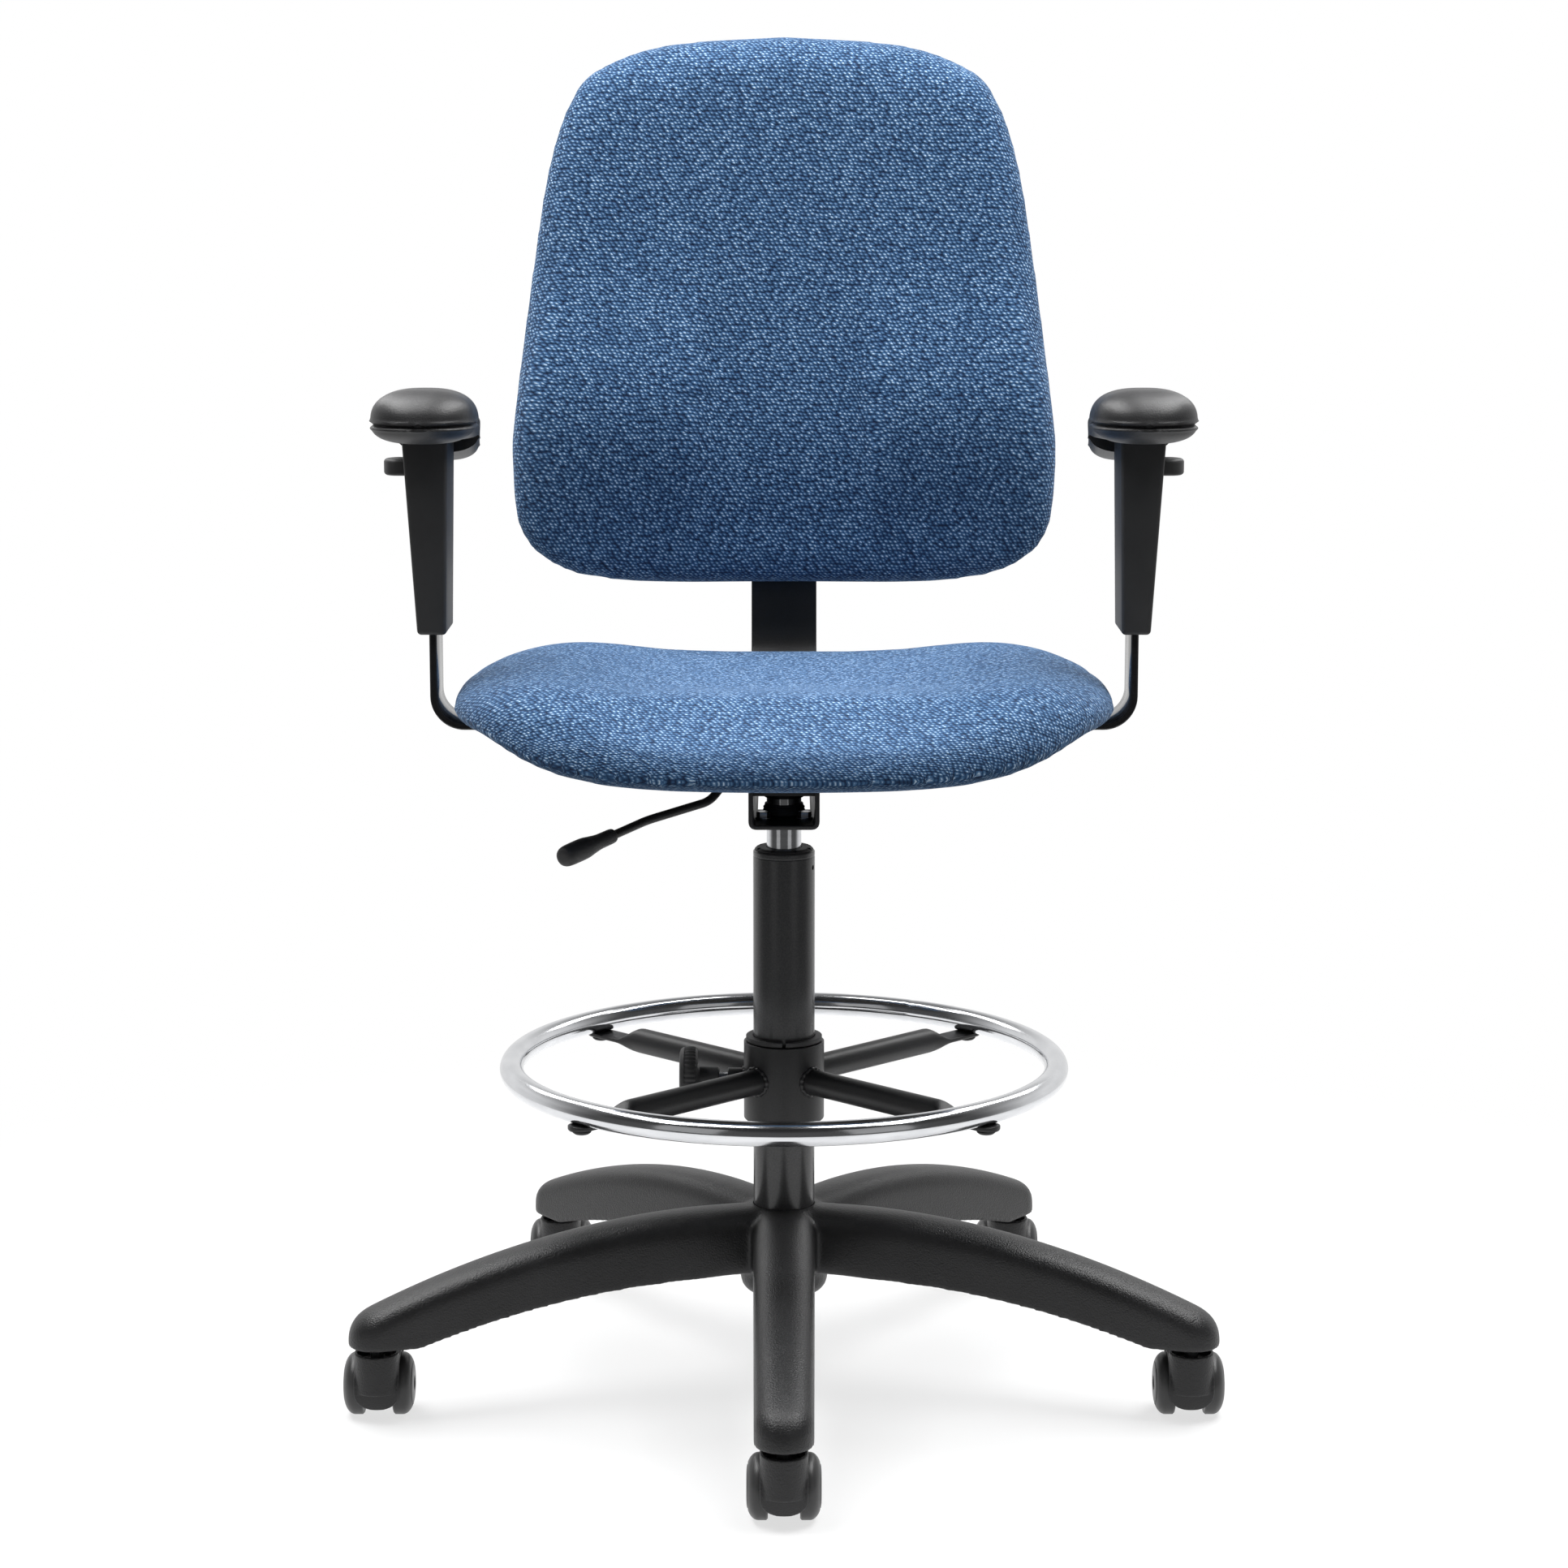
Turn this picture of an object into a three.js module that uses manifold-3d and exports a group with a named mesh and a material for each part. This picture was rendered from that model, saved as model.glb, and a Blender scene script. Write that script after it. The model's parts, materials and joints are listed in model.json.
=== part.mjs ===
// A drafting chair: five-leg base on twin-wheel casters, tall gas lift, clamped foot ring,
// upholstered seat and back, and two height-adjustable arms.
// Millimetres, +Z up. The origin is on the floor under the column, and the chair faces -Y.
import * as THREE from "three";
import { mergeVertices } from "three/addons/utils/BufferGeometryUtils.js";
import Module from "manifold-3d";

const wasm = await Module();
wasm.setup();

// ---- Fits

const fitGap = 0.3; // between pieces that touch
const runningGap = 1; // between pieces that pass each other
const slideGap = 0.5; // between a bar and the sleeve that slides on it
const overcut = 1; // how far a cutting tool runs past the face that it cuts
const overlap = 1; // how far joined solids run into each other

// ---- Driving dimensions: casters

const wheelRadius = 25;
const wheelWidth = 16;
const wheelGap = 24; // between the inner faces of the two wheels
const wheelTread = 7; // width of the cylindrical tread; the rest is the domed side
const axleRadius = 3;
const axleGrip = 10; // how far the axle enters each wheel
const casterTrail = 18; // from the stem's axis back to the axle
const casterHeadroom = 12.4; // from the top of the wheels to the underside of the leg
const hoodWidth = 36;
const hoodThickness = 3;
const hoodBelowLeg = 5;
const hoodDrop = 15; // from the axle down to the tip of the hood's tongue
const hoodReach = 18.75; // from the axle back to the hood's rear edge
const hoodSkirtStart = 8; // behind the axle, where the hood's lower edge steps up
const hoodSkirtDrop = 9; // from the axle down to that higher edge
const hoodCupRadius = 18;
const hoodCupWall = 2.5;
const hoodCupDepth = 6;
const stemRadius = 5.5;
const stemInLeg = 24;
const stemFootRise = 11.25; // from the axle up to the stem's lower end
const stemFlangeRadius = 9;
const stemFlangeThickness = 2;

// ---- Driving dimensions: base

const legCount = 5;
const casterCircleRadius = 342;
const legTipRadius = 22.4;
const legTipHeight = 32; // from the underside of the tip to its top, over the caster
const legRootHalfWidth = 25.5;
const legCrestHeight = 89; // from the underside of the tips to the highest line of the legs
const legCrestRadius = 60; // where that highest line is
const archCrestHeight = 36; // from the underside of the tips to the top of the arch below
const archCrestRadius = 85;
const archEndInset = 30; // from the caster circle in to the end of the arch
const legCrown = 20; // depth of the rounded upper part of a leg's section
const legCrownShare = 0.7; // the most of a shallow section that is rounded
const legCrownSquareness = 0.8; // 1 is a half ellipse, and less is squarer
const legWall = 4;
const hubWall = 10.7; // round the column
const hubDepth = 70; // from the top of the hub to its underside
const hubBelowCrest = 1; // from the highest line of the legs down to the hub's top
const hubTopWall = 5.7; // round the column at the hub's rounded top
const hubTopRound = 14;

// ---- Driving dimensions: column and gas lift

const columnRadius = 25;
const columnWall = 2;
const columnReserve = 49; // column below the bush that the travel doesn't use
const columnFoot = 2; // height of the column's floor above the hub's underside
const columnFloor = 3;
const cylinderRadius = 14;
const cylinderWall = 1.5;
const cylinderSeal = 10; // height of the seal block at the cylinder's open end
const cylinderEndWall = 8;
const cylinderFootSpace = 5; // above the thrust bearing at the lowest setting
const cylinderProud = 3; // how far the cylinder stands above the plate that grips it
const liftTravel = 254;
const pistonRodRadius = 5;
const pistonHeight = 12;
const bearingRadius = 12;
const bearingHeight = 8;
const bushDepth = 60; // length of the guide bush inside the column's top
const bushLip = 2; // how far the bush's lip stands above the column
const bushLipInset = 1; // from the column's edge in to the lip
const chromeExposed = 25.5; // from the column's top to the mechanism

// ---- Driving dimensions: foot ring

const ringRadius = 222; // to the middle of the tube
const ringTubeRadius = 9.6;
const ringTubeWall = 1.6;
const ringHeight = 266.8; // above the floor, to the middle of the tube
const spokeRadius = 10.5;
const spokeWall = 2;
const spokeCount = 4;
const spokeSolidEnd = 16; // length of the spoke's end that isn't hollow
const tongueThickness = 4; // flattened outer end of a spoke, under the ring
const tongueWidth = 22;
const tongueLength = 22; // from the ring's inner edge in to the round part of the spoke
const tongueRoot = 14; // how far the tongue runs into the round part
const spokeRise = 2; // from the tongue's middle up to the spoke's axis
const collarWall = 3.95;
const collarHeight = 66;
const collarRise = 20.4; // from the ring's middle up to the collar's top
const ringBushWall = 3.2;
const ringBushFlange = 4;
const ringBushFlangeReach = 2.5; // past the bush's own outside
const ringBushSlit = 3;
const ringScrewRadius = 3;
const ringScrewHeadRadius = 7.5;
const ringScrewHeadHeight = 3;
const ringScrewEntry = 3; // how far a screw stands inside the tube
const studRadius = 4;
const bossRadius = 7.5;
const bossLength = 13;
const clampPadThickness = 3;
const knobRadius = 25;
const knobThickness = 14.5;
const knobHubRadius = 8.75;
const knobHubLength = 18;
const knobBelowRing = 10.8; // from the ring's middle down to the knob's axis
const knobStandOff = 7; // bare stud between the boss and the knob's hub

// ---- Driving dimensions: mechanism and lever

const channelWidth = 56.6;
const channelWall = 3.6;
const channelHeight = 85;
const channelFront = 55; // reach in front of the column's axis
const channelRear = 110;
const channelCorner = 7;
const channelFlange = 22; // width of each out-turned flange under the seat pan
const crossPlateRise = 24; // from the channel's underside to the plate that grips the taper
const crossPlateThickness = 4;
const crossPlateLength = 70;
const socketWall = 1.7;
const bootTopWall = 1.3;
const bootBottomWall = 2.9;
const bootHeight = 13;
const valveRadius = 3;
const valveStroke = 3;
const valvePocketDepth = 10;
const valveRise = 8; // how far the release pin stands above the cylinder
const leverRadius = 3.5;
const leverHoleGap = 1.5; // round the rod where it passes through the channel's wall
// Bends of the lever's rod after it leaves the wall, and then the end of its handle:
// [out from the wall, in front of the column's axis, below the rod's inner end].
const leverBends = [[9, 0, 0], [31, 20, 25.5], [80.2, 60, 34]];
const leverTip = [142, 150, 47.3];
const handleLength = 65;
const handleNeckLength = 19.5;
const handleSwelling = 35.75; // from the handle's inner end to where it is widest
const handleRound = 2; // at its outer end
const rodInHandle = 34;
const handleTipRadius = 8.5;
const handleNeckRadius = 6;

// ---- Driving dimensions: seat and back

const seatWidth = 530;
const seatDepth = 465;
const seatFront = 250; // reach in front of the column's axis
const seatSquareness = 2.7; // exponent of the seat's outline
const seatEdgeHeight = 14; // from the pan's underside up to the seat's widest line
const seatTopHeight = 24; // from the pan's underside up to the middle of the seat
const seatBolster = 17; // how much the thigh bolsters rise above the middle
const seatBolsterInset = 71.5; // from the seat's side in to the bolster's crest
const seatBolsterSpread = 80;
const seatFrontRidge = 9; // how much the front rises above the middle
const seatRidgeInset = 107; // from the front edge back to that rise
const seatRidgeSpread = 65;
const seatWaterfall = 31; // how far the front lip hangs below the rest of the edge
const seatWaterfallLength = 100;
const seatWaterfallTop = 0.4; // share of that drop that the top surface follows
const panThickness = 12;
const panInset = 32; // from the seat's outline in to the pan's edge
const backWidth = 471;
const backHeight = 469;
const backAboveSeatPan = 76; // from the pan's underside up to the back's lower edge
const backRecline = THREE.MathUtils.degToRad(9.3);
const backFootY = 255; // the back's rear plane at its lower edge
const backMiddle = 50; // from the rear plane to the middle of the front
const backEdge = 24; // from the rear plane forward to the widest line
const backWing = 9.6; // how far the side wings come forward
const backWingRear = 5.6; // the same on the cushion's rear face
const backWingStart = 94; // from the centre line out to where the wings begin
const backWingRun = 118; // over which they rise
const backLumbar = 9;
const backLumbarHeight = 131; // above the back's lower edge
const backLumbarSpread = 94;
const shellInset = 7; // from the cushion's outline in to the shell's edge
const shellDepth = 34;
const shellFlare = 3; // how much deeper the shell is at its top than at its foot
const shellWall = 3.5;
const shellRim = 6; // depth of the shell's edge
const uprightRecess = 5; // from the back's rear plane to the upright's front face
const guideWall = 8;
const guideHeight = 150;
const uprightWidth = 56.5;
const uprightThickness = 8;
const uprightBend = 42;
const uprightOverlap = 170; // how far it reaches up inside the back
const uprightFootY = 125; // front end of the leg bolted under the pan

const cushionFullness = 9; // how squarely a cushion turns over at its edge; 2 is an ellipse

// ---- Driving dimensions: arms

const armGap = 9; // from the seat's side to the bar's inner face
const armBarThickness = 6;
const armBarDepth = 54;
const armBarY = -20;
const armBarBend = 24; // centre-line radius
const armBarInner = 100; // where the bar's leg under the seat ends
const armBarRise = 161; // from the pan's underside to the top of the bar
const sleeveBottom = 70; // above the pan's underside
const sleeveTop = 224;
const sleeveDepth = 64;
const sleeveBottomInner = 8; // from the bar's inner face to the sleeve's inner face
const sleeveBottomOuter = 9; // from the bar's outer face to the sleeve's
const sleeveTopInner = 11;
const sleeveTopOuter = 19;
const sleeveTopWall = 8;
const buttonHeight = 13;
const buttonDepth = 30;
const buttonReach = 17; // how far it stands out of the sleeve
const buttonInset = 5; // from the bar's slot to the button's inner end
const buttonBelowTop = 17;
const buttonStroke = 3;
const padLength = 250;
const padFront = 140; // reach of the nose in front of the column's axis
const padWidth = 80;
const padHeight = 42;
const padSquareness = 2.6; // exponent of the pad's section
const padSeatSpare = 4; // flat underside behind the sleeve
const padDroop = 29; // how far the tail hangs below the nose
const padTailNarrowing = 0.3; // share of the nose's width that the tail loses
// Along the pad, as shares of its length: where the nose is full, where the droop and the
// narrowing begin, where the tail begins to round off, and the run of that rounding.
const padNoseEnd = 0.16;
const padLevelEnd = 0.2;
const padTailStart = 0.84;
const padTailRun = 0.165;
const padEndWidth = 0.35; // share of the width left at the very ends
const padEndHeight = 0.3;

// ---- Levels and shared radii, worked out upwards from the floor

const axleZ = wheelRadius;
const stemFootZ = axleZ + stemFootRise;
const legTipZ = 2 * wheelRadius + casterHeadroom;
const legCrestZ = legTipZ + legCrestHeight;
const hubTopZ = legCrestZ - hubBelowCrest;
const hubBottomZ = hubTopZ - hubDepth;
const hubRadius = columnRadius + fitGap + hubWall;
const hubTopRadius = columnRadius + fitGap + hubTopWall;
const columnLength = liftTravel + bushDepth + columnReserve;
const columnBottomZ = hubBottomZ + columnFoot;
const columnTopZ = columnBottomZ + columnLength;
const bearingZ = columnBottomZ + columnFloor + fitGap;
const cylinderBottomZ = bearingZ + bearingHeight + cylinderFootSpace;
const pistonZ = cylinderBottomZ + cylinderSeal + liftTravel + runningGap;
const channelZ = columnTopZ + chromeExposed;
const crossPlateZ = channelZ + crossPlateRise;
const cylinderTopZ = crossPlateZ + crossPlateThickness + cylinderProud;
const valveTopZ = cylinderTopZ + valveRise;
const leverZ = valveTopZ + fitGap + leverRadius;
const panZ = channelZ + channelHeight + fitGap;
const collarBore = columnRadius + fitGap + ringBushWall + fitGap;
const collarRadius = collarBore + collarWall;
const collarTopZ = ringHeight + collarRise;
const collarBottomZ = collarTopZ - collarHeight;
const spokeZ = ringHeight - ringTubeRadius - fitGap - tongueThickness / 2;
const knobZ = ringHeight - knobBelowRing;
const seatMiddleY = seatDepth / 2 - seatFront;
const backBottomZ = panZ + backAboveSeatPan;
const armBarX = seatWidth / 2 + armGap + armBarThickness / 2;
const uprightZ = panZ - fitGap - uprightThickness / 2;

// ---- Fineness

const roundSides = 24;
const smallSides = 12;
const wheelSides = 16;
const ringSteps = 40;
const ringSides = 10;
const ringHollowSides = 6;
const padSides = 20;
const leverSteps = 24;
const leverCurveSegments = 5;
const tongueCurveSegments = 6;
const cushionSides = 36;
const shellSides = 28;
const mergeTolerance = 1e-4;

// ---- Materials

function finish(color, roughness, metalness) {
  return new THREE.MeshStandardMaterial({ color, roughness, metalness });
}

const materials = {
  nylon: finish(0x26272a, 0.6, 0),
  wheel: finish(0x1d1e20, 0.5, 0),
  columnPaint: finish(0x17181a, 0.35, 0.2),
  powderCoat: finish(0x1b1c1e, 0.6, 0.2),
  chrome: finish(0xd8dadd, 0.08, 1),
  steel: finish(0x9a9da1, 0.35, 1),
  moulded: finish(0x1f2022, 0.5, 0),
  polyurethane: finish(0x161719, 0.45, 0),
  plywood: finish(0x2a2826, 0.7, 0),
  fabric: finish(0x4f82b8, 0.95, 0),
};

// ---- Solids: manifold-3d joins and cuts what three.js shapes

function solidOf(geometry) {
  const bare = geometry.clone();
  bare.deleteAttribute("normal");
  bare.deleteAttribute("uv");
  const merged = mergeVertices(bare, mergeTolerance);
  return new wasm.Manifold(
    new wasm.Mesh({
      numProp: 3,
      vertProperties: merged.attributes.position.array,
      triVerts: new Uint32Array(merged.index.array),
    }),
  );
}

function geometryOf(solid) {
  const mesh = solid.getMesh();
  const geometry = new THREE.BufferGeometry();
  geometry.setAttribute("position", new THREE.BufferAttribute(mesh.vertProperties, mesh.numProp));
  geometry.setIndex(new THREE.BufferAttribute(mesh.triVerts, 1));
  geometry.computeVertexNormals();
  return geometry;
}

function joined(...solids) {
  return solids.reduce((whole, next) => whole.add(next));
}

function cut(solid, ...tools) {
  return tools.reduce((left, tool) => left.subtract(tool), solid);
}

function mesh(name, material, solid) {
  const made = new THREE.Mesh(geometryOf(solid), material);
  made.name = name;
  return made;
}

// A box between two corners.
function block(low, high) {
  const size = high.map((value, axis) => value - low[axis]);
  const geometry = new THREE.BoxGeometry(...size);
  geometry.translate(...high.map((value, axis) => (value + low[axis]) / 2));
  return solidOf(geometry);
}

// A solid of revolution about Z from a closed profile of [radius, z] points.
function turned(profile, sides = roundSides) {
  const closed = [...profile, profile[0]];
  const points = closed.map(([radius, z]) => new THREE.Vector2(radius, z));
  const geometry = new THREE.LatheGeometry(points, sides);
  geometry.rotateX(Math.PI / 2);
  const solid = solidOf(geometry);
  return solid.volume() < 0 ? solidOf(flipped(geometry)) : solid;
}

function flipped(geometry) {
  const index = geometry.index.array;
  for (let i = 0; i < index.length; i += 3) {
    [index[i + 1], index[i + 2]] = [index[i + 2], index[i + 1]];
  }
  return geometry;
}

function rod(radius, lowZ, highZ, sides = roundSides) {
  const geometry = new THREE.CylinderGeometry(radius, radius, highZ - lowZ, sides);
  geometry.rotateX(Math.PI / 2);
  geometry.translate(0, 0, (lowZ + highZ) / 2);
  return solidOf(geometry);
}

function tube(outer, inner, lowZ, highZ, sides = roundSides) {
  return turned([[inner, lowZ], [outer, lowZ], [outer, highZ], [inner, highZ]], sides);
}

// The same solid with its own Z axis laid along +X.
function alongX(solid) {
  return solid.rotate([0, 90, 0]);
}

// A flat outline in the XZ plane, given depth from lowY to highY.
function slabXZ(shape, lowY, highY, curveSegments = 12) {
  const options = { depth: highY - lowY, bevelEnabled: false, curveSegments };
  const geometry = new THREE.ExtrudeGeometry(shape, options);
  geometry.rotateX(Math.PI / 2);
  geometry.translate(0, highY, 0);
  return solidOf(geometry);
}

// A flat outline in the YZ plane, given width from lowX to highX.
function slabYZ(shape, lowX, highX) {
  const geometry = new THREE.ExtrudeGeometry(shape, { depth: highX - lowX, bevelEnabled: false });
  geometry.rotateX(Math.PI / 2);
  geometry.rotateZ(Math.PI / 2);
  geometry.translate(lowX, 0, 0);
  return solidOf(geometry);
}

function polygon(points) {
  return new THREE.Shape(points.map(([x, y]) => new THREE.Vector2(x, y)));
}

// A strip of even thickness round one bend: start, corner and end are [x, y] points.
function bentStrip(start, corner, end, bendRadius, thickness) {
  const from = new THREE.Vector2(...start);
  const turn = new THREE.Vector2(...corner);
  const to = new THREE.Vector2(...end);
  const inward = turn.clone().sub(from).normalize();
  const outward = to.clone().sub(turn).normalize();
  const angle = Math.acos(inward.dot(outward));
  const side = Math.sign(inward.cross(outward));
  const setback = bendRadius * Math.tan(angle / 2);
  const bendStart = turn.clone().addScaledVector(inward, -setback);
  const normal = new THREE.Vector2(-inward.y, inward.x).multiplyScalar(side);
  const centre = bendStart.clone().addScaledVector(normal, bendRadius);
  const steps = 8;
  const line = [{ point: from, normal }];
  for (let i = 0; i <= steps; i += 1) {
    const turnedNormal = normal.clone().rotateAround(new THREE.Vector2(), (side * angle * i) / steps);
    line.push({ point: centre.clone().addScaledVector(turnedNormal, -bendRadius), normal: turnedNormal });
  }
  line.push({ point: to, normal: line.at(-1).normal });
  const offset = (distance) =>
    line.map((step) => step.point.clone().addScaledVector(step.normal, distance));
  return new THREE.Shape([...offset(thickness / 2), ...offset(-thickness / 2).reverse()]);
}

// A closed skin over rings of points, each ring joined to the next and both ends capped.
function lofted(rings) {
  const sides = rings[0].length;
  const mean = (ring, axis) => ring.reduce((sum, point) => sum + point[axis], 0) / sides;
  const middle = (ring) => [0, 1, 2].map((axis) => mean(ring, axis));
  const points = [...rings.flat(), middle(rings[0]), middle(rings.at(-1))];
  const firstMiddle = points.length - 2;
  const lastMiddle = points.length - 1;
  const lastRing = (rings.length - 1) * sides;
  const index = [];
  for (let i = 0; i < sides; i += 1) {
    const next = (i + 1) % sides;
    index.push(firstMiddle, next, i);
    index.push(lastMiddle, lastRing + i, lastRing + next);
    for (let k = 0; k < lastRing; k += sides) {
      index.push(k + i, k + next, k + sides + next);
      index.push(k + i, k + sides + next, k + sides + i);
    }
  }
  const geometry = new THREE.BufferGeometry();
  geometry.setAttribute("position", new THREE.Float32BufferAttribute(points.flat(), 3));
  geometry.setIndex(index);
  const solid = solidOf(geometry);
  return solid.volume() < 0 ? solidOf(flipped(geometry)) : solid;
}

// Points round a superellipse; an exponent of 2 is an ellipse, and more is squarer.
function superellipse(halfWidth, halfHeight, exponent, count) {
  const power = (value) => Math.sign(value) * Math.abs(value) ** (2 / exponent);
  return Array.from({ length: count }, (_, i) => {
    const angle = (2 * Math.PI * (i + 0.5)) / count;
    return [halfWidth * power(Math.cos(angle)), halfHeight * power(Math.sin(angle))];
  });
}

// A cushion over an outline of [x, y] points about its middle. Its rings shrink to the middle
// below and above the widest line, and the three surfaces are functions of x and y.
function cushioned(outline, bottom, edge, top) {
  const scales = [0.3, 0.6, 0.84, 0.96];
  const ring = (scale, surface) =>
    outline.map(([x, y]) => {
      const rim = edge(x, y);
      const rise = Math.sqrt(1 - scale ** cushionFullness);
      return [x * scale, y * scale, rim + (surface(x * scale, y * scale) - rim) * rise];
    });
  return lofted([
    ...scales.map((scale) => ring(scale, bottom)),
    ring(1, top),
    ...scales.toReversed().map((scale) => ring(scale, top)),
  ]);
}

function smoothStep(value) {
  return THREE.MathUtils.smoothstep(value, 0, 1);
}

function bump(distance, width) {
  return Math.exp(-((distance / width) ** 2));
}

// ---- Casters

const wheelInnerX = wheelGap / 2;
const hoodHalfWeb = wheelInnerX - runningGap;
const wellRadius = wheelRadius + runningGap;

// A wheel about the Z axis: flat inner face at 0, domed outer face, blind hole for the axle.
function wheelSolid() {
  const domeSteps = 3;
  const hubFace = 0.42; // share of the radius that is the flat middle of the outer face
  const dome = Array.from({ length: domeSteps }, (_, i) => {
    const angle = ((i + 1) / domeSteps) * (Math.PI / 2);
    const radius = wheelRadius * (hubFace + (1 - hubFace) * Math.cos(angle));
    return [radius, wheelTread + (wheelWidth - wheelTread) * Math.sin(angle)];
  });
  const hole = axleRadius + fitGap;
  const holeEnd = axleGrip + fitGap;
  return turned(
    [[hole, 0], [wheelRadius, 0], [wheelRadius, wheelTread], ...dome,
      [0, wheelWidth], [0, holeEnd], [hole, holeEnd]],
    wheelSides,
  );
}

// Front outline of the hood: straight sides that round off into a tongue below the axle.
function tongueShape(topZ) {
  const half = hoodWidth / 2;
  const tipZ = axleZ - hoodDrop;
  const fullness = 0.6;
  const shoulderZ = tipZ + hoodDrop * (1 - fullness);
  const tongue = new THREE.Shape();
  tongue.moveTo(-half, topZ);
  tongue.bezierCurveTo(-half, shoulderZ, -half * fullness, tipZ, 0, tipZ);
  tongue.bezierCurveTo(half * fullness, tipZ, half, shoulderZ, half, topZ);
  return tongue;
}

// The hood about the stem's axis: a fender round the axle, a tongue in front, a cup on top.
function hoodSolid() {
  const half = hoodWidth / 2;
  const hoodTopZ = legTipZ - hoodBelowLeg;
  const beyond = 4 * wheelRadius;
  const rearY = casterTrail + wheelRadius + hoodThickness + overcut;
  const aroundAxle = (radius, halfWidth) =>
    alongX(rod(radius, -halfWidth, halfWidth, wheelSides)).translate([0, casterTrail, axleZ]);
  const fender = aroundAxle(wellRadius + hoodThickness, half);
  const cup = rod(hoodCupRadius, axleZ, hoodTopZ, wheelSides);
  const front = slabXZ(tongueShape(hoodTopZ), rearY - beyond, rearY, tongueCurveSegments);
  const rearCut = block([-half - overcut, casterTrail + hoodReach, 0], [half + overcut, beyond, beyond]);
  const skirtCut = block(
    [-half - overcut, casterTrail + hoodSkirtStart, 0],
    [half + overcut, beyond, axleZ - hoodSkirtDrop],
  );
  const wheelWell = alongX(rod(wellRadius, hoodHalfWeb, half + overcut, wheelSides));
  const wells = [0, 180].map((turn) => wheelWell.rotate([0, 0, turn]).translate([0, casterTrail, axleZ]));
  const cupInner = hoodCupRadius - hoodCupWall;
  const cupHollow = rod(cupInner, hoodTopZ - hoodCupDepth, hoodTopZ + overcut, wheelSides);
  const stemHole = rod(stemRadius + fitGap, stemFootZ - fitGap, hoodTopZ + overcut, smallSides);
  const axleHole = aroundAxle(axleRadius + fitGap, half + overcut);
  const body = joined(fender, cup).intersect(front);
  return cut(body, rearCut, skirtCut, ...wells, cupHollow, stemHole, axleHole);
}

function stemSolid() {
  const flangeTop = legTipZ - fitGap;
  const flange = rod(stemFlangeRadius, flangeTop - stemFlangeThickness, flangeTop, smallSides);
  return joined(rod(stemRadius, stemFootZ, legTipZ + stemInLeg - fitGap, smallSides), flange);
}

function caster(number, x, y) {
  const group = new THREE.Group();
  const name = (piece) => `caster_${number}_${piece}`;
  const axleHalf = wheelInnerX + axleGrip;
  const axle = alongX(rod(axleRadius, -axleHalf, axleHalf, smallSides));
  const axlePlace = [0, casterTrail, axleZ];
  const wheelRight = alongX(wheelSolid()).translate([wheelInnerX, 0, 0]);
  const wheelLeft = wheelRight.rotate([0, 0, 180]);
  group.add(mesh(name("hood"), materials.nylon, hoodSolid()));
  group.add(mesh(name("stem"), materials.steel, stemSolid()));
  group.add(mesh(name("axle"), materials.steel, axle.translate(axlePlace)));
  group.add(mesh(name("wheel_right"), materials.wheel, wheelRight.translate(axlePlace)));
  group.add(mesh(name("wheel_left"), materials.wheel, wheelLeft.translate(axlePlace)));
  group.position.set(x, y, 0);
  return group;
}

// ---- Base

// Height of a leg's top line and of the arch under it, at a distance from the column's axis.
function legTop(radius) {
  const share = (radius - legCrestRadius) / (casterCircleRadius - legCrestRadius);
  const height = legCrestHeight - (legCrestHeight - legTipHeight) * share ** 2;
  const intoTip = Math.max(0, (radius - casterCircleRadius) / legTipRadius);
  return legTipZ + height * Math.cbrt(1 - Math.min(1, intoTip) ** 3);
}

function legArch(radius) {
  const span = casterCircleRadius - archEndInset - archCrestRadius;
  const share = THREE.MathUtils.clamp((radius - archCrestRadius) / span, 0, 1);
  return legTipZ + archCrestHeight * (1 - share ** 2);
}

function legHalfWidth(radius) {
  const share = radius / casterCircleRadius;
  if (share < 1) return THREE.MathUtils.lerp(legRootHalfWidth, legTipRadius, share);
  return Math.sqrt(Math.max(0, legTipRadius ** 2 - (radius - casterCircleRadius) ** 2));
}

// A leg's section: a crowned top on straight sides, inset all round when it is the hollow.
function legSection(radius, inset) {
  const half = legHalfWidth(radius) - inset;
  const top = legTop(radius) - inset;
  const bottom = inset ? legTipZ - overcut : legArch(radius);
  const crown = Math.min(legCrown, (top - bottom) * legCrownShare);
  const steps = inset ? 4 : 6;
  const arch = Array.from({ length: steps + 1 }, (_, i) => {
    const angle = (Math.PI * i) / steps;
    const across = Math.sign(Math.cos(angle)) * Math.abs(Math.cos(angle)) ** legCrownSquareness;
    return [radius, half * across, top - crown + crown * Math.sin(angle) ** legCrownSquareness];
  });
  return [[radius, half, bottom], ...arch, [radius, -half, bottom]];
}

function legSolids(angle) {
  const tipShares = [0, 0.45, 0.75, 0.92, 0.99];
  const spans = [0.06, 0.22, 0.38, 0.55, 0.71, 0.87];
  const outerStations = [
    ...spans.map((share) => share * casterCircleRadius),
    ...tipShares.map((share) => casterCircleRadius + share * legTipRadius),
  ];
  const hollowEnd = casterCircleRadius - legTipRadius;
  const hollowStart = hubRadius + legWall;
  const hollowStations = [0, 0.33, 0.67, 1].map((share) =>
    THREE.MathUtils.lerp(hollowStart, hollowEnd, share),
  );
  const place = (solid) => solid.rotate([0, 0, THREE.MathUtils.radToDeg(angle)]);
  const socket = rod(stemRadius + fitGap, legTipZ - overcut, legTipZ + stemInLeg, smallSides);
  return {
    outer: place(lofted(outerStations.map((radius) => legSection(radius, 0)))),
    hollow: place(lofted(hollowStations.map((radius) => legSection(radius, legWall)))),
    socket: place(socket.translate([casterCircleRadius, 0, 0])),
  };
}

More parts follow.
